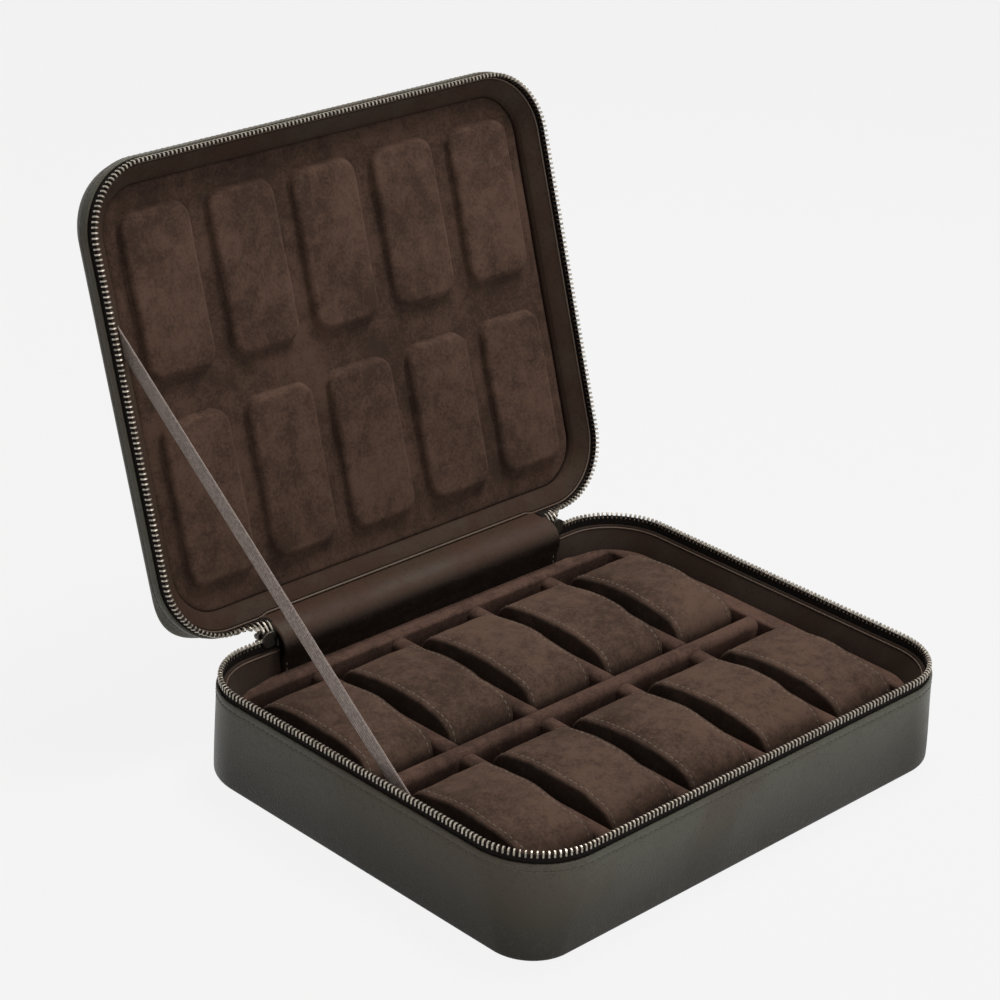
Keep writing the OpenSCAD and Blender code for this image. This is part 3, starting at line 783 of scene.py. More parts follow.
class ZipSettings(bpy.types.PropertyGroup):
    """Zip tape, teeth and sliders."""

    tape: colour_property("Tape colour", "woven tape", (26, 21, 18))
    metal: colour_property("Metal colour", "teeth and sliders", (178, 169, 156))


class SuedeSettings(bpy.types.PropertyGroup):
    """Suede of the tray, the cushions and the lid lining."""

    tray: colour_property("Tray colour", "tray's suede", (82, 62, 53))
    cushion: colour_property("Cushion colour", "cushions' suede", (81, 63, 53))
    lid: colour_property("Lid colour", "lid's suede", (77, 58, 48))
    swell: length_property("Cushion swell", "How far a cushion may puff out", 1.2)


class RibbonSettings(bpy.types.PropertyGroup):
    """Stay ribbon."""

    colour: colour_property("Colour", "ribbon", (204, 186, 177))


class StageSettings(bpy.types.PropertyGroup):
    """Floor, lights and camera."""

    backdrop: colour_property("Backdrop", "floor and the background", (246, 246, 246))
    key: power_property("Key light", "Power of the main lamp in watts", 13.0)
    fill: power_property("Fill light", "Power of the front lamp in watts", 9.5)
    side: power_property("Side light", "Power of the side lamp in watts", 0.9)


# Leather shell


def base_wall_profile():
    """Section of the base's leather: turned under the foot, up the wall with a sewn groove
    below the rim, over the rounded rim and down inside."""
    under, edge = (SLIP - TURN_IN, -10.0), BASE_EDGE_R
    wall = [(0.06, 6.5), (0.12, 14.0), (0.16, 24.0), (0.12, 34.0), (0.03, BASE_GROOVE - 1.6)]
    wall += [(-0.02, BASE_GROOVE - 0.7), (-0.3, BASE_GROOVE), (-0.02, BASE_GROOVE + 0.7)]
    return np.concatenate(
        [
            [(x, 0.0) for x in (*under, -4.0)],
            arc(-edge, edge, edge, -90, 0, 7),
            wall + [(0.06, BASE_GROOVE + 1.4)],
            arc(-LEATHER_T / 2, RIM_TOP - TURNED_R, TURNED_R, 0, 180, 9),
            [(-LEATHER_T, z) for z in (BASE_H - 3.0, 30.0, 12.0, LEATHER_T)],
            [(x, LEATHER_T) for x in under[::-1]],
        ]
    )


def lid_outer_rings():
    """Rings of the lid's leather: from the middle of the outer face out to the edge, round it,
    up the wall past a sewn groove, over the rim and back down and in."""
    insets = [118.5, 100.0, 80.0, 60.0, 40.0, 28.0, 18.0, 12.0]
    edge, groove = LID_EDGE_R, LID_GROOVE
    wall = [(0.02, groove - 0.7), (0.3, groove), (0.02, groove + 0.7), (-0.04, groove + 1.6)]
    rim = arc(-LEATHER_T / 2, LID_H - TURNED_R, TURNED_R, 0, 180, 9)
    return [
        *((inset, 0.0) for inset in insets),
        *((-x, z) for x, z in arc(-edge, edge, edge, -90, 0, 13)),
        *wall,
        *((-x, z) for x, z in rim),
        (LEATHER_T, LID_H - 2.2),
        *((-x, z) for x, z in arc(-edge, edge, edge - LEATHER_T, 0, -90, 9)),
        *((inset, LEATHER_T) for inset in insets[::-1]),
    ]


def squarer(points, height, amounts):
    """Draws the corners out towards the outer face at height 0, where the leather stands squarer
    than at the zip: the lower a point lies, the smaller its corner's radius. amounts are the
    cuts in radius at the face for (left front, left back, right front, right back)."""
    x, y, z = np.moveaxis(points, -1, 0)
    amount = np.where(x < 0, np.where(y < 0, *amounts[:2]), np.where(y < 0, *amounts[2:]))
    side = np.stack([np.sign(x), np.sign(y)], -1)
    out = points[..., :2] - side * (MID_X, MID_Y)
    far = np.linalg.norm(out, axis=-1)
    inside = (out * side > 0).all(-1) * np.clip((far - SQUARE_FROM) / SQUARE_OVER, 0, 1)
    less = amount * inside * (1 - eased(np.clip(z / height, 0, 1)))
    moved = points.copy()
    moved[..., :2] += less[..., None] * (side - out / np.maximum(far, 1e-6)[..., None])
    return moved


def base_squarer(points):
    """The base's wall with its corners drawn out at the foot."""
    return squarer(points, FOOT_SQUARE_H, FOOT_SQUARE)


def lid_squarer(points):
    """The lid's shell with its corners drawn out at the outer face, then set open."""
    return lid_place(squarer(points, LID_SQUARE_H, LID_SQUARE))


class CASE_OT_leather_shell(bpy.types.Operator):
    """Makes the leather of the base and the lid, with their sewn grooves"""

    bl_idname = "case.leather_shell"
    bl_label = "Leather Shell"

    def execute(self, context):
        profile = base_wall_profile()
        wall = carry("leather_base_wall", profile, case_line(6.0), turn=base_squarer)
        finish(wall, "outer_leather", "base", ["base_leather_wall"])
        dress_node("base_bottom_panel", "outer_leather")
        points = np.stack([matched_ring(inset, z, 24) for inset, z in lid_outer_rings()])
        n, m = points.shape[:2]
        corners = np.concatenate([tube_quads(n, m)[0].reshape(-1), tube_ends(n, m).reshape(-1)])
        flow = points.reshape(-1, 3)[corners, :2]
        shell = tube("leather_lid_shell", lid_squarer(points), flow)
        finish(shell, "outer_leather", "lid", ["lid_leather"])
        for name in ("base_board", "lid_board"):
            dress_node(name, "fibre_board")
        return {"FINISHED"}


class CASE_OT_rim_stitches(bpy.types.Operator):
    """Sews the row of stitches below the base's rim and the lid's rim"""

    bl_idname = "case.rim_stitches"
    bl_label = "Rim Stitches"

    def execute(self, context):
        leather = context.scene.case_leather
        pitch, length = leather.stitch_pitch / MM, leather.stitch_length / MM
        template = stitch_template(length, *RIM_STITCH)
        for name, height, body, turn in (
            ("stitches_base_rim", BASE_GROOVE, "base", None),
            ("stitches_lid_rim", LID_GROOVE, "lid", lid_place),
        ):
            places, along, outward, up = along_line(case_line(3.0), pitch, -0.12, height)
            slant, level = RIM_STITCH_SLANT, math.sqrt(1 - RIM_STITCH_SLANT**2)
            ahead, across = along * level + up * slant, up * level - along * slant
            axes = np.stack([ahead, across, outward], 1)
            row = repeated(name, template, places, axes, turn)
            finish(row, "rim_thread", body)
        return {"FINISHED"}


# Zip


def tape_profile(foot, top, count=3):
    """Section of a tape: a thin strip with rounded edges."""
    r = TAPE_T / 2
    middle = -TAPE_IN - r
    height = np.linspace(foot + r, top - r, count)[1:-1]
    return np.concatenate(
        [
            [(middle + r, foot + r)],
            np.stack([np.full(count - 2, middle + r), height], -1),
            arc(middle, top - r, r, 0, 180, 5),
            np.stack([np.full(count - 2, middle - r), height[::-1]], -1),
            arc(middle, foot + r, r, 180, 340, 5),
        ]
    )


def tooth_template():
    """A zip tooth: its outline across the tape has two legs, a waist and a rounded head, and is
    drawn in at both faces along the tape."""
    half, top = TOOTH_W / 2, TOOTH_H + TOOTH_BITE - 0.05
    legs = [(-half + 0.25, 0.75), (-0.55, 0.7), (-0.45, 1.7)]
    waist = [(half, 1.2), (half - 0.12, 2.2), (half, 3.1), (half - 0.42, top - 0.3)]
    mirrored = [(-x, y) for x, y in legs[::-1]]
    back = [(-x, y) for x, y in waist[::-1]]
    outline = np.array([*legs, *mirrored, *waist, (0.0, top), *back])
    middle = np.array([0.0, 2.4])
    rings = []
    for t, shrink in ((-0.52, 0.84), (-0.36, 1.0), (0.36, 1.0), (0.52, 0.84)):
        flat = middle + (outline - middle) * shrink
        rings.append(np.concatenate([np.full((len(flat), 1), t), flat], -1))
    m = len(outline)
    return np.concatenate(rings), tube_quads(4, m)[0], tube_ends(4, m)


def tooth_row(s, sides, root):
    """Places and directions of teeth at distances s on the halves of the chain given."""
    at, normal, along = chain_places(s)
    zero = np.zeros((len(s), 1))
    up = np.tile([0.0, 0.0, 1.0], (len(s), 1))
    places, axes = [], []
    for side in sides:
        flip = np.array([side, 1.0])
        ahead, out = (np.concatenate([way * flip, zero], -1) for way in (along, normal))
        places.append(np.concatenate([at * flip, zero + root], -1))
        axes.append(np.stack([ahead, out, up], 1))
    return np.concatenate(places), np.concatenate(axes)


def merged_copy(name, new_name):
    """A copy of a carried-over solid with its doubles merged and its edges softened."""
    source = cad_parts[name]
    mesh = source.data.copy()
    made = bmesh.new()
    made.from_mesh(mesh)
    bmesh.ops.remove_doubles(made, verts=made.verts, dist=1e-6)
    bmesh.ops.dissolve_limit(made, angle_limit=0.02, verts=made.verts, edges=made.edges)
    made.to_mesh(mesh)
    made.free()
    mesh.transform(source.matrix_world)
    piece = bpy.data.objects.new(new_name, mesh)
    mesh.name = new_name
    bpy.context.collection.objects.link(piece)
    soft = piece.modifiers.new("Edges", "BEVEL")
    soft.width = 0.18 * MM
    soft.segments = 2
    soft.limit_method = "ANGLE"
    soft.angle_limit = math.radians(35)
    mesh.polygons.foreach_set("use_smooth", np.full(len(mesh.polygons), True))
    mesh.set_sharp_from_angle(angle=math.radians(40))
    return piece


class CASE_OT_zip(bpy.types.Operator):
    """Makes the zip: two woven tapes, their rows of teeth, the end stops, sliders and pulls"""

    bl_idname = "case.zip"
    bl_label = "Zip"

    def execute(self, context):
        gap = STRIP_W / 2 + SLIP
        profile = tape_profile(BOARD_TOP + SLIP, BASE_ROOT + TAPE_BITE)
        tape = carry("tape_base", profile, case_line(5.0, gap), ring=False)
        finish(tape, "zip_tape", "base", ["base_zip_tape"])
        profile = tape_profile(LID_TAPE_FOOT, LID_ROOT + TAPE_BITE)
        line = case_line(5.0, CHAIN_END + ZIP_END_L - SLIP)
        tape = carry("tape_lid", profile, line, False, lid_place)
        finish(tape, "zip_tape", "lid", ["lid_zip_tape"])
        template = tooth_template()
        s = np.arange(HALF_COUNT + 1) * TOOTH_PITCH
        row = tooth_row(s[:-1] + TOOTH_PITCH / 2, (1.0, -1.0), BASE_ROOT)
        row = repeated("teeth_base", template, *row, None, False)
        finish(row, "zip_metal", "base", ["base_zip_teeth"])
        rows = tooth_row(s[LID_FIRST:-1], (1.0, -1.0), LID_ROOT)
        front = tooth_row(s[-1:], (1.0,), LID_ROOT)
        row = [np.concatenate(pair) for pair in zip(rows, front)]
        row = repeated("teeth_lid", template, *row, lid_place, False)
        finish(row, "zip_metal", "lid", ["lid_zip_teeth"])
        for side, word in ((-1.0, "left"), (1.0, "right")):
            x = np.linspace(gap, CHAIN_END + ZIP_END_L, 20)
            place = np.stack([x * side, np.full(20, CASE_D / 2)], -1)
            line = (place, np.tile([0.0, 1.0], (20, 1)), x - gap)
            profile = tape_profile(LID_TAPE_FOOT, LID_ROOT + TAPE_BITE, 10)
            tape = carry(f"tape_lid_end_{word}", profile, line, False, zip_end_place)
            finish(tape, "zip_tape")
            row = tooth_row(s[:LID_FIRST], (side,), LID_ROOT)
            row = repeated(f"teeth_lid_end_{word}", template, *row, zip_end_place, False)
            finish(row, "zip_metal")
            for piece in (tape, row):
                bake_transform(piece)
        for name, body in (
            ("base_zip_stops", "base"),
            ("lid_zip_stops", "lid"),
            ("zip_slider_left", "left_slider"),
            ("zip_slider_right", "right_slider"),
            ("pull_tab_left", "left_pull"),
            ("pull_tab_right", "right_pull"),
        ):
            piece = merged_copy(name, "metal_" + name)
            finish(piece, "zip_dark", body, [name])
        return {"FINISHED"}


# Base lining and tray


def collar_profile(full):
    """Sections of the padded wall lining: a thin bead at the top, over a filled face that leans
    in towards the ledge. full is 1 where it is fully padded and 0 beside the hinge lining."""
    r, foot, shelf = COLLAR_BEAD_R, FLOOR_TOP + SLIP, BOARD_TOP + SLIP
    lean = np.array([0.0, 0.5, 1.2, 2.6, 4.1, 5.7, 6.9, 7.6, 7.7, 7.7, 7.7])
    flush = np.array([0.0, 0.4, 0.9, 1.6, 2.2, 2.7, 3.1, 3.3, 3.4, 3.4, 3.4])
    height = np.array([46.2, 45.6, 44.6, 42.8, 40.8, 38.4, 36.4, 34.8, 32.0, 20.0, foot])
    inset = LINING_IN + 2 * r + 0.05 + flush + (lean - flush) * full[:, None]
    face = np.stack([-inset, np.broadcast_to(height, inset.shape)], -1)
    back = [(-LINING_BACK, z) for z in (foot, 20.0, shelf)]
    back += [(-LINING_IN, shelf), (-LINING_IN, 42.0)]
    bead = arc(-LINING_IN - r, COLLAR_TOP - COLLAR_BEAD_DROP - r, r, 0, 180, 11)
    back = np.concatenate([back, bead])
    return np.concatenate([np.broadcast_to(back, (len(full), *back.shape)), face], 1)


class CASE_OT_base_lining(bpy.types.Operator):
    """Makes the padded lining of the base's wall"""

    bl_idname = "case.base_lining"
    bl_label = "Base Lining"

    def execute(self, context):
        line = case_line(4.0, STRIP_W / 2 + 2 * SLIP, 24)
        x, y = line[0].T
        share = np.clip((np.abs(x) - STRIP_W / 2) / COLLAR_FADE, 0, 1)
        full = np.where(y > 0, eased(share), 1.0)
        collar = carry("lining_base_wall", collar_profile(full), line, ring=False)
        finish(collar, "lining_leather", "base", ["base_collar"])
        # A turned edge along the bead's top, its lighter colour partly a painted highlight
        fold = arc(-LINING_IN - 2.45, COLLAR_TOP - 2.4, 0.45, 0, 330, 10)
        edge = carry("lining_base_edge_and_highlight", fold, line, ring=False)
        finish(edge, "lining_edge", "base")
        return {"FINISHED"}


class CASE_OT_tray(bpy.types.Operator):
    """Makes the suede tray: floor, ledge, the divider between the rows and the cross dividers"""

    bl_idname = "case.tray"
    bl_label = "Tray"

    def execute(self, context):
        dress_node("tray_floor", "tray_suede")
        half_d = (CAVITY_BACK - CAVITY_FRONT) / 2
        foot, bend, r = FLOOR_TOP + SLIP, TRAY_TOP - TRAY_R, TRAY_R
        turned = [(math.cos(a), math.sin(a)) for a in np.radians([0, 22, 45, 67, 90])]
        outside = [(0.0, foot), (0.0, 18.0), (0.0, bend)]
        outside += [(r - r * c, bend + r * s) for c, s in turned[1:]]
        inside = [(r - r * s, bend + r * c) for c, s in turned]
        inside += [(0.0, 24.0), (0.0, 15.0), (0.0, foot)]
        rings = [matched_ring(COLLAR_IN + 2 * SLIP + inset, z, 16) for inset, z in outside]
        for grow, z in inside:
            sizes = (CAVITY_X + grow, half_d + grow, 2.5 + grow)
            rings.append(matched_rectangle(*sizes, DIVIDER_Y, z, 30, 16))
        points = np.stack(rings)
        crest = points[..., 2] > TRAY_TOP - 0.1
        points[..., 2] += waves(points, 5, 60.0) * 0.22 * crest
        ledge = tube("tray_ledge_cover", points, ring=True)
        finish(ledge, "tray_suede", "base", ["tray_ledge"])
        middle = [(0, DIVIDER_Y)]
        self.divider("tray_centre_divider", "centre_divider", 2 * CAVITY_X, TRAY_TOP, middle, 0)
        for row in ("front", "rear"):
            spots = [((i - 2.5) * COLUMN_PITCH, ROW_Y[row]) for i in range(1, 5)]
            self.divider(f"tray_{row}_dividers", f"{row}_dividers", ROW_L, CROSS_TOP, spots, 1)
        return {"FINISHED"}

    def divider(self, name, node_name, space, top, spots, turned):
        """Upright padded boards across a space: a section with a round top edge, carried along a
        line, its crest a little uneven."""
        foot, half, r = FLOOR_TOP + SLIP, DIVIDER_T / 2, DIVIDER_T * 0.42
        section = np.concatenate(
            [
                [(half - 0.3, foot), (half, foot + 1), (half, 20.0)],
                arc(half - r, top - r, r, 0, 90, 7),
                arc(-half + r, top - r, r, 90, 180, 7),
                [(-half, 20.0), (-half, foot + 1), (-half + 0.3, foot)],
            ]
        )
        t = np.linspace(-0.5, 0.5, 31) * (space - 0.4)
        n, m = len(t), len(section)
        quads, ends = tube_quads(n, m)[0], tube_ends(n, m)
        along, (across, height) = np.repeat(t, m), np.tile(section, (n, 1)).T
        flat = [across, along] if turned else [along, across]
        points, polygons = [], []
        for k, (x, y) in enumerate(spots):
            block = np.stack([flat[0] + x, flat[1] + y, height], -1)
            lift = np.minimum(waves(block, 11 + k, 45.0) * 0.18, 0.1)
            block[:, 2] += np.where(height > top - 2, lift, 0)
            points.append(block)
            polygons += [quads + k * len(block), ends + k * len(block)]
        piece = make_mesh(name, np.concatenate(points), polygons)
        finish(piece, "tray_suede", "base", [node_name])


# Cushions


def cushion_outline(count=112):
    """Outline of a cushion from the side, flat below and arched above, evenly sampled, with its
    normals. The arch meets the round ends."""
    half, r, arch_r, foot_r = CUSHION_L / 2, CUSHION_END_R, CUSHION_ARCH_R, CUSHION_FOOT_R
    reach = half - r
    end_top = CUSHION_H - (arch_r - math.sqrt(arch_r**2 - reach**2))
    lean = math.degrees(math.asin(reach / arch_r))
    path = np.concatenate(
        [
            arc(half - foot_r, foot_r, foot_r, -90, 0, 8),
            arc(reach, end_top - r, r, 0, 90 - lean * 0.6, 14),
            arc(0, CUSHION_H - arch_r, arch_r, 90 - lean * 0.9, 90 + lean * 0.9, 24),
            arc(-reach, end_top - r, r, 90 + lean * 0.6, 180, 14),
            arc(-half + foot_r, foot_r, foot_r, 180, 270, 8),
        ]
    )
    path = np.concatenate([path, path[:1]])
    run = run_along(path)
    even = read_off(np.arange(count) * run[-1] / count, run, path)
    for _ in range(2):
        even = (np.roll(even, 1, 0) + 2 * even + np.roll(even, -1, 0)) / 4
    ahead = np.roll(even, -1, 0) - np.roll(even, 1, 0)
    return even, unit(np.stack([ahead[:, 1], -ahead[:, 0]], -1))


def cushion_points(shrink):
    """A cushion at the origin: the side outline carried from left to right, drawn in along a
    round edge at both sides, crowned in the middle, and closed by side panels that bulge."""
    outline, normal = cushion_outline()
    half, edge = CUSHION_W / 2 - shrink, CUSHION_EDGE_R
    a = np.radians(np.linspace(90, 0, 7))
    side_x, side_in = half - edge + edge * np.cos(a), edge - edge * np.sin(a)
    middle = np.linspace(-(half - edge), half - edge, 26)[1:-1]
    x = np.concatenate([-side_x[::-1], middle, side_x])
    inset = np.concatenate([side_in[::-1], np.zeros(len(middle)), side_in]) + shrink
    ring = outline[None] - normal[None] * inset[:, None, None]
    crown = (1 - (x / half) ** 2)[:, None] * np.clip(normal[:, 1], 0, 1) ** 2 * 0.9
    ring[..., 1] += crown
    centre = np.array([0.0, CUSHION_H * 0.45])
    share = np.array([0.94, 0.84, 0.66, 0.42, 0.16])
    bulge = half + 0.25 * (1 - share**2)
    caps = centre + (ring[-1] - centre) * share[:, None, None]
    x = np.concatenate([-bulge[::-1], x, bulge])
    rings = np.concatenate([caps[::-1], ring, caps])
    side = np.broadcast_to(x[:, None, None], (*rings.shape[:2], 1))
    return np.concatenate([side, rings], -1)


def evaluated(piece):
    """A piece as its modifiers leave it."""
    return piece.evaluated_get(bpy.context.evaluated_depsgraph_get())


def read_points(mesh):
    """A mesh's points in millimetres."""
    flat = np.empty(len(mesh.vertices) * 3)
    mesh.vertices.foreach_get("co", flat)
    return flat.reshape(-1, 3) / MM


def puffed(points, seed, cap):
    """How far each point moves when the cushion is filled: a coarse copy is remeshed, blown up
    by cloth pressure, capped, and its motion spread to the nearest points by their distance."""
    start = tube("swelling", points + waves(points, seed, 26.0)[..., None] * 0.25)
    remesh = start.modifiers.new("Voxels", "REMESH")
    remesh.mode = "VOXEL"
    remesh.voxel_size = FILL_VOXEL * MM
    bpy.context.view_layer.update()
    coarse = bpy.data.meshes.new_from_object(evaluated(start))
    start.modifiers.clear()
    start.data = coarse
    before = read_points(coarse)
    cloth = start.modifiers.new("Fill", "CLOTH")
    for key, value in FILL.items():
        setattr(cloth.settings, key, value)
    cloth.settings.effector_weights.gravity = 0
    cloth.collision_settings.use_self_collision = False
    cloth.point_cache.frame_start = 1
    cloth.point_cache.frame_end = FILL_FRAMES
    scene = bpy.context.scene
    for number in range(1, FILL_FRAMES + 1):
        scene.frame_set(number)
    motion = read_points(evaluated(start).to_mesh()) - before
    evaluated(start).to_mesh_clear()
    scene.frame_set(1)
    bpy.data.objects.remove(start, do_unlink=True)
    size = np.linalg.norm(motion, axis=1, keepdims=True)
    motion *= np.minimum(1.0, cap / np.maximum(size, 1e-6))
    tree = kdtree.KDTree(len(before))
    for k, p in enumerate(before):
        tree.insert(p, k)
    tree.balance()
    found = [tree.find_n(p, 6) for p in points.reshape(-1, 3)]
    index = np.array([[f[1] for f in row] for row in found])
    weight = 1 / (np.array([[f[2] for f in row] for row in found]) + 0.8) ** 2
    moved = (motion[index] * weight[..., None]).sum(1) / weight.sum(1, keepdims=True)
    return moved.reshape(points.shape)


class CASE_OT_cushions(bpy.types.Operator):
    """Fills the ten watch cushions, closes their seams and sews their edges"""

    bl_idname = "case.cushions"
    bl_label = "Cushions"

    def execute(self, context):
        cap = context.scene.case_suede.swell / MM
        base = cushion_points(0.3)
        n, m = base.shape[:2]
        # Painted shade: the flow map's first value is 0 down each side and 1 from twelve sections
        # in, so the suede darkens on the sides
        section = tube_quads(n, m)[0].reshape(-1) // m
        out_of_painted_shade = np.clip(np.minimum(section, n - 1 - section) / 12.0, 0, 1)
        out_of_painted_shade = np.concatenate([out_of_painted_shade, np.zeros(2 * m)])
        flow = np.stack([out_of_painted_shade * out_of_painted_shade, np.zeros(len(out_of_painted_shade))], -1)
        fills = [puffed(base, k, cap) for k in (3, 8)]
        template = stitch_template(*CUSHION_STITCH)
        for row, number in [(r, k) for r in ("front", "rear") for k in range(1, 6)]:
            name = f"{row}_cushion_{number}"
            seed = number + (10 if row == "rear" else 0)
            points = base + fills[seed % 2]
            uneven = waves(points, 100 + seed, 34.0) * 0.42 + waves(points, 200 + seed, 9.0) * 0.1
            points[..., 2] += uneven * np.clip((points[..., 2] - 12) / 20, 0, 1)
            points[..., 2] = np.maximum(points[..., 2], 0.0)
            x, y = (number - 3) * COLUMN_PITCH, ROW_Y[row] + CUSHION_SHIFT
            points += (x, y, CUSHION_FOOT)
            pad = tube("suede_" + name, points, flow)
            finish(pad, "cushion_suede", name, [name])
            self.seams("stitches_" + name, points, template, name)
        return {"FINISHED"}

    def seams(self, name, points, template, body):
        """Stitches along both side edges of a cushion's top, laid on its skin a little in from
        the edge: along the edge, across it, and out by the product of the two."""
        places, axes = [], []
        for row, into in ((12, 1), (len(points) - 13, -1)):
            over = points[row, :, 2] > points[..., 2].max() - 17
            line = points[row, over]
            run = run_along(line)
            count = int(run[-1] // CUSHION_STITCH_PITCH)
            s = (np.arange(count) + 0.5) * run[-1] / count
            at = read_off(s, run, line)
            ahead = unit(read_off(s + 1, run, line) - at, 1e-9)
            across = read_off(s, run, points[row + into, over] - line)
            out = np.cross(ahead, across)
            out = unit(out * np.sign(out[:, 2:3] + 1e-9), 1e-9)
            keep = np.linalg.norm(ahead, axis=1) > 0.5
            places.append((at + out * 0.02)[keep])
            axes.append(np.stack([ahead, np.cross(out, ahead), out], 1)[keep])
        row = repeated(name, template, np.concatenate(places), np.concatenate(axes))
        finish(row, "cushion_thread", body)


# Lid lining


class CASE_OT_lid_border(bpy.types.Operator):
    """Makes the padded sloping border round the lid's panel"""

    bl_idname = "case.lid_border"
    bl_label = "Lid Border"

    def execute(self, context):
        line = case_line(3.0)
        x, y = line[0].T
        n = len(x)
        behind = np.clip((STRIP_W / 2 - np.abs(x)) / 3.0, 0, 1) * (y > 0)
        face = -LINING_IN - behind * (GUSSET_T + SLIP)
        side, low_r = PANEL_IN - SLIP, BORDER_FOOT_R
        high, low = np.stack([face - 1, np.full(n, LID_H + 0.5)], -1), (low_r - side, BORDER_FOOT)
        # The slope is the line that touches the rim's round and the foot's, swelled a little
        lean = low - high
        a = np.arctan2(*lean.T[::-1]) - np.arccos((1 - low_r) / np.linalg.norm(lean, axis=1))
        normal = heading(a)[:, None]
        share = np.linspace(0, 1, 12)[None, :, None]
        slope = (high[:, None] + normal) * (1 - share) + (low + normal * low_r) * share
        slope = slope + normal * (4 * share * (1 - share)) ** 0.8 * 0.55
        t, top = np.linspace(0, 1, 6)[None], a[:, None]

        def fixed(*places):
            return np.broadcast_to(np.array(places, float), (n, len(places), 2))

        profile = np.concatenate(
            [
                fixed((-side, PANEL_FOOT), (-9.0, PANEL_FOOT), (-6.1, 6.0), (-LINING_BACK, 9.0)),
                fixed((-LINING_BACK, LID_TAPE_FOOT)),
                np.stack([face, np.full(n, LID_TAPE_FOOT)], -1)[:, None],
                high[:, None] + heading(t * top),
                slope[:, 1:-1],
                low + low_r * heading(top + t * (math.pi - top)),
                fixed((-side, 6.0)),
            ],
            1,
        )
        border = carry("lining_lid_border", profile, line, turn=lid_place)
        # A turned edge along the border's rim, its lighter colour partly a painted highlight
        fold = np.stack([face - 0.9, np.full(n, LID_H + 1.1)], -1)[:, None]
        edge = carry("lining_lid_edge_and_highlight", fold + arc(0, 0, 0.6, 0, 345, 12), line, turn=lid_place)
        finish(edge, "lining_edge", "lid")
        finish(border, "border_leather", "lid", ["lid_border"])
        return {"FINISHED"}


def panel_height(x, y):
    """Height of the lid's padded ground: flat, with a slow swell, and rounded down at its border
    by the distance in from a rounded rectangle."""
    dx, dy = np.abs(x) - (PANEL_W - PANEL_R), np.abs(y) - (PANEL_D - PANEL_R)
    out = np.hypot(np.maximum(dx, 0), np.maximum(dy, 0)) + np.minimum(np.maximum(dx, dy), 0)
    into = PANEL_ROLL - np.minimum(PANEL_R - out, PANEL_ROLL)
    lower = PANEL_ROLL - np.sqrt(np.maximum(PANEL_ROLL**2 - into**2, 0))
    spot = np.stack([x, y, np.zeros_like(x)], -1)
    return PANEL_GROUND - lower + waves(spot, 31, 48.0) * 0.2 + waves(spot, 32, 14.0) * 0.05


def pad_rings():
    """Rings of a pad at the origin: up its side, over its round edge and in over its crown."""
    r = PAD_EDGE_R
    section = [(-1.4, PANEL_GROUND - 0.5), (-0.9, PANEL_GROUND + 0.1), (-0.3, PANEL_GROUND + 0.7)]
    for a in np.radians([0, 18, 36, 54, 72, 88]):
        section.append((r - r * math.cos(a), PAD_TOP - r + r * math.sin(a)))
    for inset in (4, 5.4, 8, 11, 14, 17, 20):
        section.append((inset, PAD_TOP + 0.5 * (1 - (1 - (inset - r) / 18) ** 2)))
    rings = []
    for inset, z in section:
        sizes = (PAD_W / 2 - inset, PAD_L / 2 - inset, max(PAD_R - inset, 0.8))
        rings.append(matched_rectangle(*sizes, 0.0, z, 26, 10))
    return np.stack(rings)


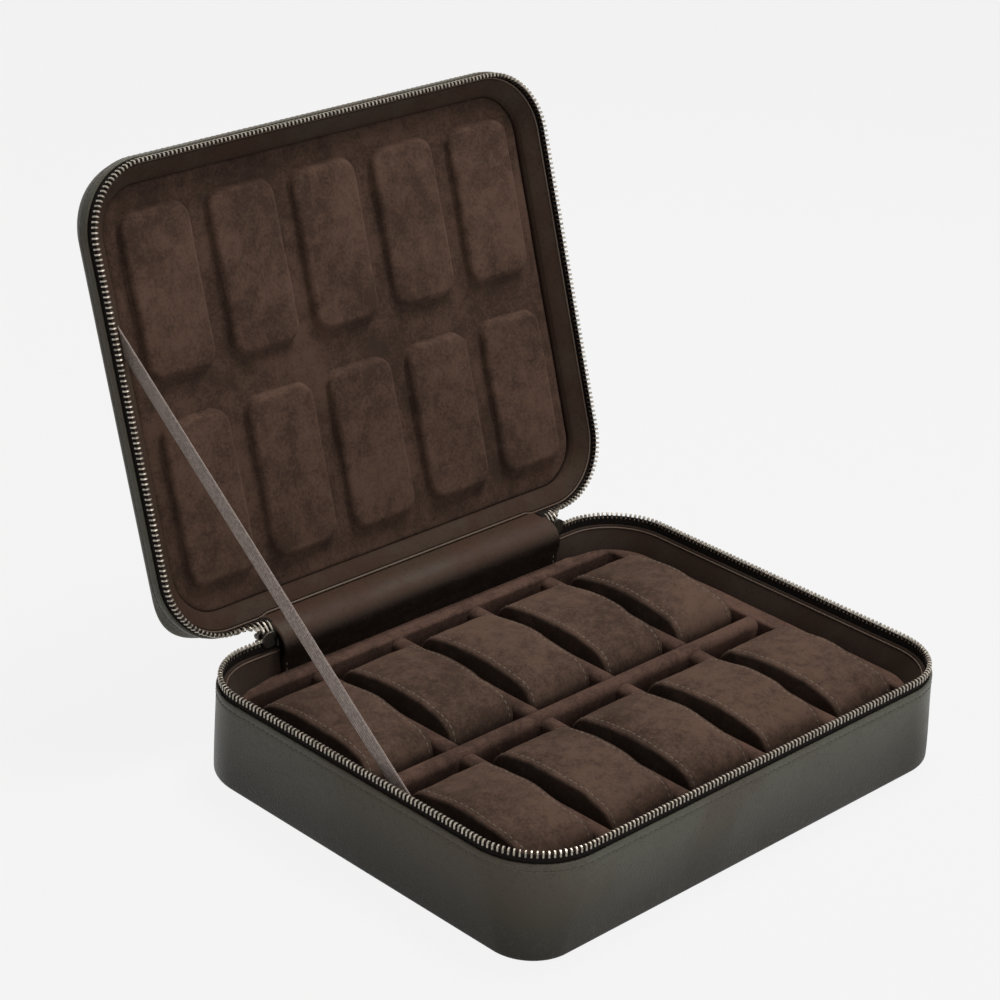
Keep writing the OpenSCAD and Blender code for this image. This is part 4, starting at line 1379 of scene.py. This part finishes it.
class CASE_OT_lid_panel(bpy.types.Operator):
    """Moulds the suede panel of the lid with its ten raised pads"""

    bl_idname = "case.lid_panel"
    bl_label = "Lid Panel"

    def execute(self, context):
        # The ground is a grid of rows across a rounded rectangle, closer through its corners
        bend = np.radians(np.linspace(90, 0, 16))
        start = PANEL_D - PANEL_R
        corner_y = start + PANEL_R * np.sin(bend)
        y = np.concatenate([corner_y, np.linspace(start, -start, 80)[1:-1], -corner_y[::-1]])
        over = np.maximum(np.abs(y) - start, 0)
        width = PANEL_W - PANEL_R + np.sqrt(np.maximum(PANEL_R**2 - over**2, 0))
        x = np.linspace(-1, 1, 131)[None] * width[:, None]
        y = np.broadcast_to(y[:, None], x.shape)
        flat = np.stack([x, y, panel_height(x, y)], -1).reshape(-1, 3)
        # Its edge, once round, drops to the foot as a skirt
        index = np.arange(x.size).reshape(x.shape)
        sides = (index[0], index[1:, -1], index[-1, ::-1][1:], index[::-1, 0][1:-1])
        border = np.concatenate(sides)
        quads = [index[:-1, :-1], index[:-1, 1:], index[1:, 1:], index[1:, :-1]]
        quads = np.stack(quads, -1).reshape(-1, 4)
        below = flat[border] * (1, 1, 0) + (0, 0, PANEL_FOOT)
        low = np.arange(len(border)) + len(flat)
        skirt = np.stack([border, np.roll(border, -1), np.roll(low, -1), low], -1)
        points, polygons = [flat, below], [quads, skirt, low[None]]
        count = len(flat) + len(below)
        pad = pad_rings()
        around, ends = tube_quads(*pad.shape[:2])[0], tube_ends(*pad.shape[:2])
        for k in range(10):
            place_y = DIVIDER_Y + (k // 5 - 0.5) * (PAD_L + PAD_ROW_GAP)
            one = pad.reshape(-1, 3) + ((k % 5 - 2) * COLUMN_PITCH, place_y, 0)
            high = np.clip((one[:, 2] - PANEL_GROUND - 2) / 2, 0, 1)
            one[:, 2] += high * (waves(one, 40 + k, 40.0) * 0.3 + waves(one, 60 + k, 12.0) * 0.08)
            for axis, seed in ((0, 80 + k), (1, 90 + k)):
                one[:, axis] += waves(one, seed, 50.0) * 0.35 * (1 - high * 0.2)
            points.append(one)
            polygons += [around + count, ends + count]
            count += len(one)
        points = np.concatenate(points)
        corners = np.concatenate([p.reshape(-1) for p in polygons])
        # Painted shade: the flow map's first value is lower on the ground than up on the pads, so
        # the suede darkens between them
        unshaded_share = np.clip((points[corners, 2] - PANEL_GROUND) / 3 + 0.45, 0, 1)
        flow = np.stack([unshaded_share, np.zeros(len(unshaded_share))], -1)
        panel = make_mesh("suede_lid_panel", lid_place(points), polygons, flow)
        finish(panel, "lid_suede", "lid", ["lid_panel"])
        return {"FINISHED"}


# Hinge and stay


def curve_points(a, b, c, d, count):
    """Points of a cubic curve through a and d with handles b and c."""
    t = np.linspace(0, 1, count)[:, None]
    return a * (1 - t) ** 3 + 3 * b * t * (1 - t) ** 2 + 3 * c * t * t * (1 - t) + d * t**3


def two_faced(name, faces, x, run, ends):
    """A thin closed skin: loops out along one face and back along the other, from one end of
    the sheet to the other. The flow map is the place x across it and the distance run along."""
    loops = np.concatenate([faces[0], faces[1][:, ::-1]], 1)
    quads, fi, fj = tube_quads(*loops.shape[:2])
    across = np.concatenate([x, x[::-1], x[:1]])
    flow = np.stack([across[fj], run[fi]], -1).reshape(-1, 2)
    flow = np.concatenate([flow, np.zeros((ends.size, 2))])
    return make_mesh(name, loops.reshape(-1, 3), [quads, ends], flow)


def strip(name, line, thickness, width, across, ripple=0.0, hem=0.0, seed=1):
    """A strip along a line of (y, z) places: two faces half a thickness to either side, closed
    at its edges, with a slow ripple and a thicker hem at both ends of its width."""
    ahead = unit(np.gradient(line, axis=0))
    side = np.stack([-ahead[:, 1], ahead[:, 0]], -1)
    x = np.linspace(-width / 2, width / 2, across)
    half = thickness / 2 * (1 + hem * np.clip(np.abs(x) - (width / 2 - 3.0), 0, 1))
    run = run_along(line)
    n, m = len(line), 2 * across
    free = np.sin(np.pi * run / run[-1]) ** 2
    spot = np.stack(np.broadcast_arrays(x[None], run[:, None] * 0.35, 0.0), -1)
    move = waves(spot, seed, 46.0) * ripple * free[:, None]
    faces = []
    for sign in (1, -1):
        yz = line[:, None] + side[:, None] * (move + sign * half[None])[..., None]
        faces.append(np.concatenate([np.broadcast_to(x[None, :, None], (n, across, 1)), yz], -1))
    i = np.arange(across - 1)
    end = np.stack([i, i + 1, m - 2 - i, m - 1 - i], -1)
    return two_faced(name, faces, x, run, np.concatenate([end, end + (n - 1) * m])), run[-1]


def hinge_line(base_y, lid_y, foot, top, lift, pull, counts):
    """Centre line of a strip over the hinge, as (y, z): up the base's wall from foot to top,
    along a cubic curve whose handles are lift and pull, and on into the lid's wall. Returns it
    with both ends of the curve."""
    a = np.array([base_y, top])
    d = opened(lid_y, LID_RIM)
    into = opened(lid_y, LID_RIM + 1) - d
    wall = np.linspace([base_y, foot], a, counts[0])[:-1]
    roll = curve_points(a, a + lift, d - into * pull, d, counts[1])
    inside = np.linspace(d, d + into * 3, 4)[1:]
    return np.concatenate([wall, roll, inside]), a, d


class CASE_OT_hinge(bpy.types.Operator):
    """Makes the soft hinge: the leather strip outside and the lining that rolls over inside"""

    bl_idname = "case.hinge"
    bl_label = "Soft Hinge"

    def execute(self, context):
        base_y = CASE_D / 2 - COLLAR_IN - GUSSET_T / 2 + 0.2
        lid_y = CASE_D / 2 - LINING_IN - GUSSET_T / 2
        heights = (FLOOR_TOP + 20, BASE_H - 5.0)
        line, a, d = hinge_line(base_y, lid_y, *heights, (-7.0, 15.0), 12, (16, 38))
        gusset, length = strip("hinge_lining", line, GUSSET_T, GUSSET_W, 96, 0.35, 0.25, 21)
        finish(gusset, "hinge_leather", None, ["hinge_gusset"])
        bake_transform(gusset)
        self.end_stitches(a)
        y, heights = CASE_D / 2 - ZIP_IN, (BOARD_TOP + SLIP, BASE_H)
        line, a, d = hinge_line(y, y, *heights, (0, 3.5), 4, (6, 22))
        spine, _ = strip("hinge_strip", line, TAPE_T, STRIP_W, 60)
        finish(spine, "outer_leather", None, ["hinge_spine"])
        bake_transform(spine)
        return {"FINISHED"}

    def end_stitches(self, top):
        """Upright rows of stitches at both ends of the hinge lining, down the base's wall."""
        height = np.arange(top[1] - 1.5, TRAY_TOP - 3, -HINGE_STITCH_PITCH)
        x = np.repeat([-1.0, 1.0], len(height)) * (GUSSET_W / 2 - 2.6)
        y = np.full(len(x), top[0] - GUSSET_T / 2 - 0.1)
        places = np.stack([x, y, np.tile(height, 2)], -1)
        axes = np.tile(np.array([(0, 0, 1), (1, 0, 0), (0, -1, 0)], float), (len(x), 1, 1))
        row = repeated("stitches_hinge", stitch_template(*HINGE_STITCH), places, axes)
        finish(row, "thread", "base")


class CASE_OT_stay_ribbon(bpy.types.Operator):
    """Makes the flat ribbon that holds the lid open"""

    bl_idname = "case.stay_ribbon"
    bl_label = "Stay Ribbon"

    def execute(self, context):
        # Each face is a plane grid: t from the low end to the high end, u from edge to edge
        low, high = RIBBON_LOW, RIBBON_HIGH
        rounded = np.array([0.25, 0.4, 0.4, 0.4, 0.4, 0.4, 0.25])
        count, across = 90, len(rounded)
        t = np.linspace(0, 1, count)[:, None, None]
        u = np.linspace(0, 1, across)[None, :, None]
        left, right = (low[k] * (1 - t) + high[k] * t for k in (0, 1))
        yz = left * (1 - u) + right * u
        middle = -CASE_W / 2 + COLLAR_IN + SLIP + 0.4
        faces = []
        for sign in (1, -1):
            x = middle + sign * np.broadcast_to(rounded[None, :, None], (count, across, 1))
            faces.append(np.concatenate([x, yz], -1))
        span = np.linspace(0, np.linalg.norm(high[0] - low[0]), count)
        ends = tube_ends(count, 2 * across)
        width = np.linspace(0, RIBBON_W, across)
        ribbon = two_faced("stay_ribbon_woven", faces, width, span, ends)
        finish(ribbon, "ribbon_weave", None, ["stay_ribbon"])
        x = middle * MM
        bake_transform(ribbon)
        return {"FINISHED"}


# Finishes


class CASE_OT_finishes(bpy.types.Operator):
    """Builds the materials: leather, suede, woven tape, aged metal, board and thread"""

    bl_idname = "case.finishes"
    bl_label = "Finishes"

    def execute(self, context):
        scene = context.scene
        leather, metal, suede = scene.case_leather, scene.case_zip.metal, scene.case_suede
        thread, ribbon = leather.thread, scene.case_ribbon.colour
        smooth_lining = (leather_material, 1300.0, 0.0001, 0.8, 30.0, 0.1)
        # Painted shade: the outside leather darkens towards the case's foot, the hinge leather over
        # the low part of its run inside the base
        foot, fold = ("Object", "Z", 0.0, 0.048, 0.34), ("Flow", "Y", 23.0, 31.0, 0.14)
        # A key, the material's name, its colour, its maker and the maker's own values
        for key, name, colour, maker, *values in (
            ("outer_leather", "Outside leather", leather.colour,
             leather_material, 1000.0, 0.00016, 0.44, 9.0, 0.2, foot),
            ("lining_leather", "Lining leather", leather.lining, *smooth_lining),
            ("border_leather", "Border leather", leather.border, *smooth_lining),
            ("tray_suede", "Tray suede", suede.tray, suede_material, 110.0),
            ("cushion_suede", "Cushion suede", suede.cushion, suede_material, 130.0, 0.3),
            ("lid_suede", "Lid suede", suede.lid, suede_material, 100.0, 0.74),
            ("hinge_leather", "Hinge leather", leather.hinge,
             leather_material, 1100.0, 0.00012, 0.5, 24.0, 0.12, fold),
            # The lining edge's lighter colour is partly a painted highlight
            ("lining_edge", "Lining edge", leather.edge, leather_material, 1300.0, 0.00008, 0.6),
            ("zip_tape", "Zip tape", scene.case_zip.tape, woven_material, 0.7, 0.7, 0.00012),
            ("zip_metal", "Aged zip metal", metal, metal_material, 0.3),
            ("zip_dark", "Dark zip metal", shade(metal, 0.3), metal_material, 0.38),
            ("fibre_board", "Fibre board", linear(BOARD_COLOUR), board_material),
            ("thread", "Leather thread", thread, thread_material),
            ("rim_thread", "Rim thread", shade(thread, 0.6), thread_material),
            ("cushion_thread", "Cushion thread", shade(thread, 1.25), thread_material),
            ("ribbon_weave", "Ribbon weave", ribbon, woven_material, 1.5, 0.9, 0.00022, 0.75),
        ):
            MATERIALS[key] = maker(name, tuple(colour), *values)
        return {"FINISHED"}


# Stage


def area_lamp(name, power, size, place, target, colour=(1, 1, 1)):
    """A square lamp that faces a target."""
    light = bpy.data.lights.new(name, "AREA")
    light.energy = power
    light.size = size
    light.color = colour
    lamp = bpy.data.objects.new(name, light)
    bpy.context.collection.objects.link(lamp)
    lamp.location = place
    way = Vector(place) - Vector(target)
    lamp.rotation_euler = way.to_track_quat("Z", "Y").to_euler()


def background_rays(tree):
    """One for rays from the camera, off a gloss or through glass, which all see the background."""
    rays = node(tree, "ShaderNodeLightPath")
    seen = maths(tree, "MAXIMUM", rays.outputs["Is Camera Ray"], rays.outputs["Is Glossy Ray"])
    return maths(tree, "MAXIMUM", seen, rays.outputs["Is Transmission Ray"])


def backdrop(tree, out_kind, plain, shown, share):
    """Rebuilds a tree to show one shader to the eye and to gloss, by a share, and another to
    the light. Each shader is its kind and inputs."""
    tree.nodes.clear()
    inputs = {0: maths(tree, "MULTIPLY", background_rays(tree), share)}
    inputs |= {k: node(tree, *shader).outputs[0] for k, shader in ((1, plain), (2, shown))}
    blend = node(tree, "ShaderNodeMixShader", inputs).outputs[0]
    node(tree, out_kind, {0: blend})


class CASE_OT_stage(bpy.types.Operator):
    """Sets the pale floor, the soft studio light, the background and the camera"""

    bl_idname = "case.stage"
    bl_label = "Stage"

    def execute(self, context):
        scene = context.scene
        stage = scene.case_stage
        pale = (*stage.backdrop, 1)
        size = 4.0
        corners = np.array([(-size, -size, 0), (size, -size, 0), (size, size, 0), (-size, size, 0)])
        corners = corners / MM - (0, 0, 0.05)
        floor = make_mesh("studio_floor", corners, [np.arange(4)[None]], None, False)
        material = bpy.data.materials.new("Pale floor")
        material.use_nodes = True
        plain = ("ShaderNodeBsdfDiffuse", {"Color": (0.8, 0.8, 0.8, 1)})
        glow = ("ShaderNodeEmission", {"Color": pale})
        backdrop(material.node_tree, "ShaderNodeOutputMaterial", plain, glow, 0.95)
        floor.data.materials.append(material)
        scene.world = bpy.data.worlds.new("Studio")
        scene.world.use_nodes = True
        soft = ("ShaderNodeBackground", {"Color": (1, 1, 1, 1), "Strength": 0.05})
        shown = ("ShaderNodeBackground", {"Color": pale})
        backdrop(scene.world.node_tree, "ShaderNodeOutputWorld", soft, shown, 1.0)
        middle = (0.0, 0.05, 0.08)
        area_lamp("Key lamp", stage.key, 0.5, (0.38, 0.07, 1.28), middle, (1.0, 0.985, 0.96))
        area_lamp("Fill lamp", stage.fill, 1.2, (-0.35, -1.5, 0.62), middle, (0.97, 0.985, 1.0))
        area_lamp("Side lamp", stage.side, 0.9, (-1.5, -0.35, 0.4), middle)
        self.camera(scene)
        scene.view_settings.view_transform = "Standard"
        return {"FINISHED"}

    def camera(self, scene):
        """A long lens: its view direction from an azimuth and an elevation, rolled about
        itself, at a distance from a target."""
        az, el, roll = map(math.radians, (CAMERA_AZ, CAMERA_EL, CAMERA_ROLL))
        back = Vector((math.sin(az) * math.cos(el), -math.cos(az) * math.cos(el), math.sin(el)))
        right = Vector((math.cos(az), math.sin(az), 0))
        up = back.cross(right)
        side = right * math.cos(roll) + up * math.sin(roll)
        top = up * math.cos(roll) - right * math.sin(roll)
        place = Vector(CAMERA_TARGET) * MM + back * CAMERA_AWAY * MM
        lens = bpy.data.cameras.new("Camera")
        lens.sensor_width = SENSOR_W
        lens.lens = CAMERA_FOCUS * SENSOR_W / RENDER_W
        lens.clip_start = 0.05
        camera = bpy.data.objects.new("Camera", lens)
        scene.collection.objects.link(camera)
        turn = Matrix((side, top, back)).transposed()
        camera.matrix_world = Matrix.Translation(place) @ turn.to_4x4()
        scene.camera = camera


# Add-on


STEPS = (
    CASE_OT_finishes,
    CASE_OT_leather_shell,
    CASE_OT_rim_stitches,
    CASE_OT_zip,
    CASE_OT_base_lining,
    CASE_OT_tray,
    CASE_OT_cushions,
    CASE_OT_lid_border,
    CASE_OT_lid_panel,
    CASE_OT_hinge,
    CASE_OT_stay_ribbon,
    CASE_OT_stage,
)

SETTINGS = {
    "case_leather": LeatherSettings,
    "case_zip": ZipSettings,
    "case_suede": SuedeSettings,
    "case_ribbon": RibbonSettings,
    "case_stage": StageSettings,
}


class CASE_PT_sidebar(bpy.types.Panel):
    """Lists the case's sizes and colours, and the steps that make its pieces"""

    bl_idname = "CASE_PT_sidebar"
    bl_label = "Watch Case"
    bl_space_type = "VIEW_3D"
    bl_region_type = "UI"
    bl_category = "Watch Case"

    def draw(self, context):
        for key, kind in SETTINGS.items():
            box = self.layout.box()
            box.label(text=kind.__doc__)
            for name in kind.__annotations__:
                box.prop(getattr(context.scene, key), name)
        for step in STEPS:
            self.layout.operator(step.bl_idname)


def register():
    for kind in (*SETTINGS.values(), *STEPS, CASE_PT_sidebar):
        bpy.utils.register_class(kind)
    for key, kind in SETTINGS.items():
        setattr(bpy.types.Scene, key, bpy.props.PointerProperty(type=kind))


def unregister():
    for key in SETTINGS:
        delattr(bpy.types.Scene, key)
    for kind in reversed((*SETTINGS.values(), *STEPS, CASE_PT_sidebar)):
        bpy.utils.unregister_class(kind)


def main():
    """Registers the add-on and makes every piece in order."""
    register()
    for step in STEPS:
        group, name = step.bl_idname.split(".")
        getattr(getattr(bpy.ops, group), name)()


if __name__ == "__main__":
    main()
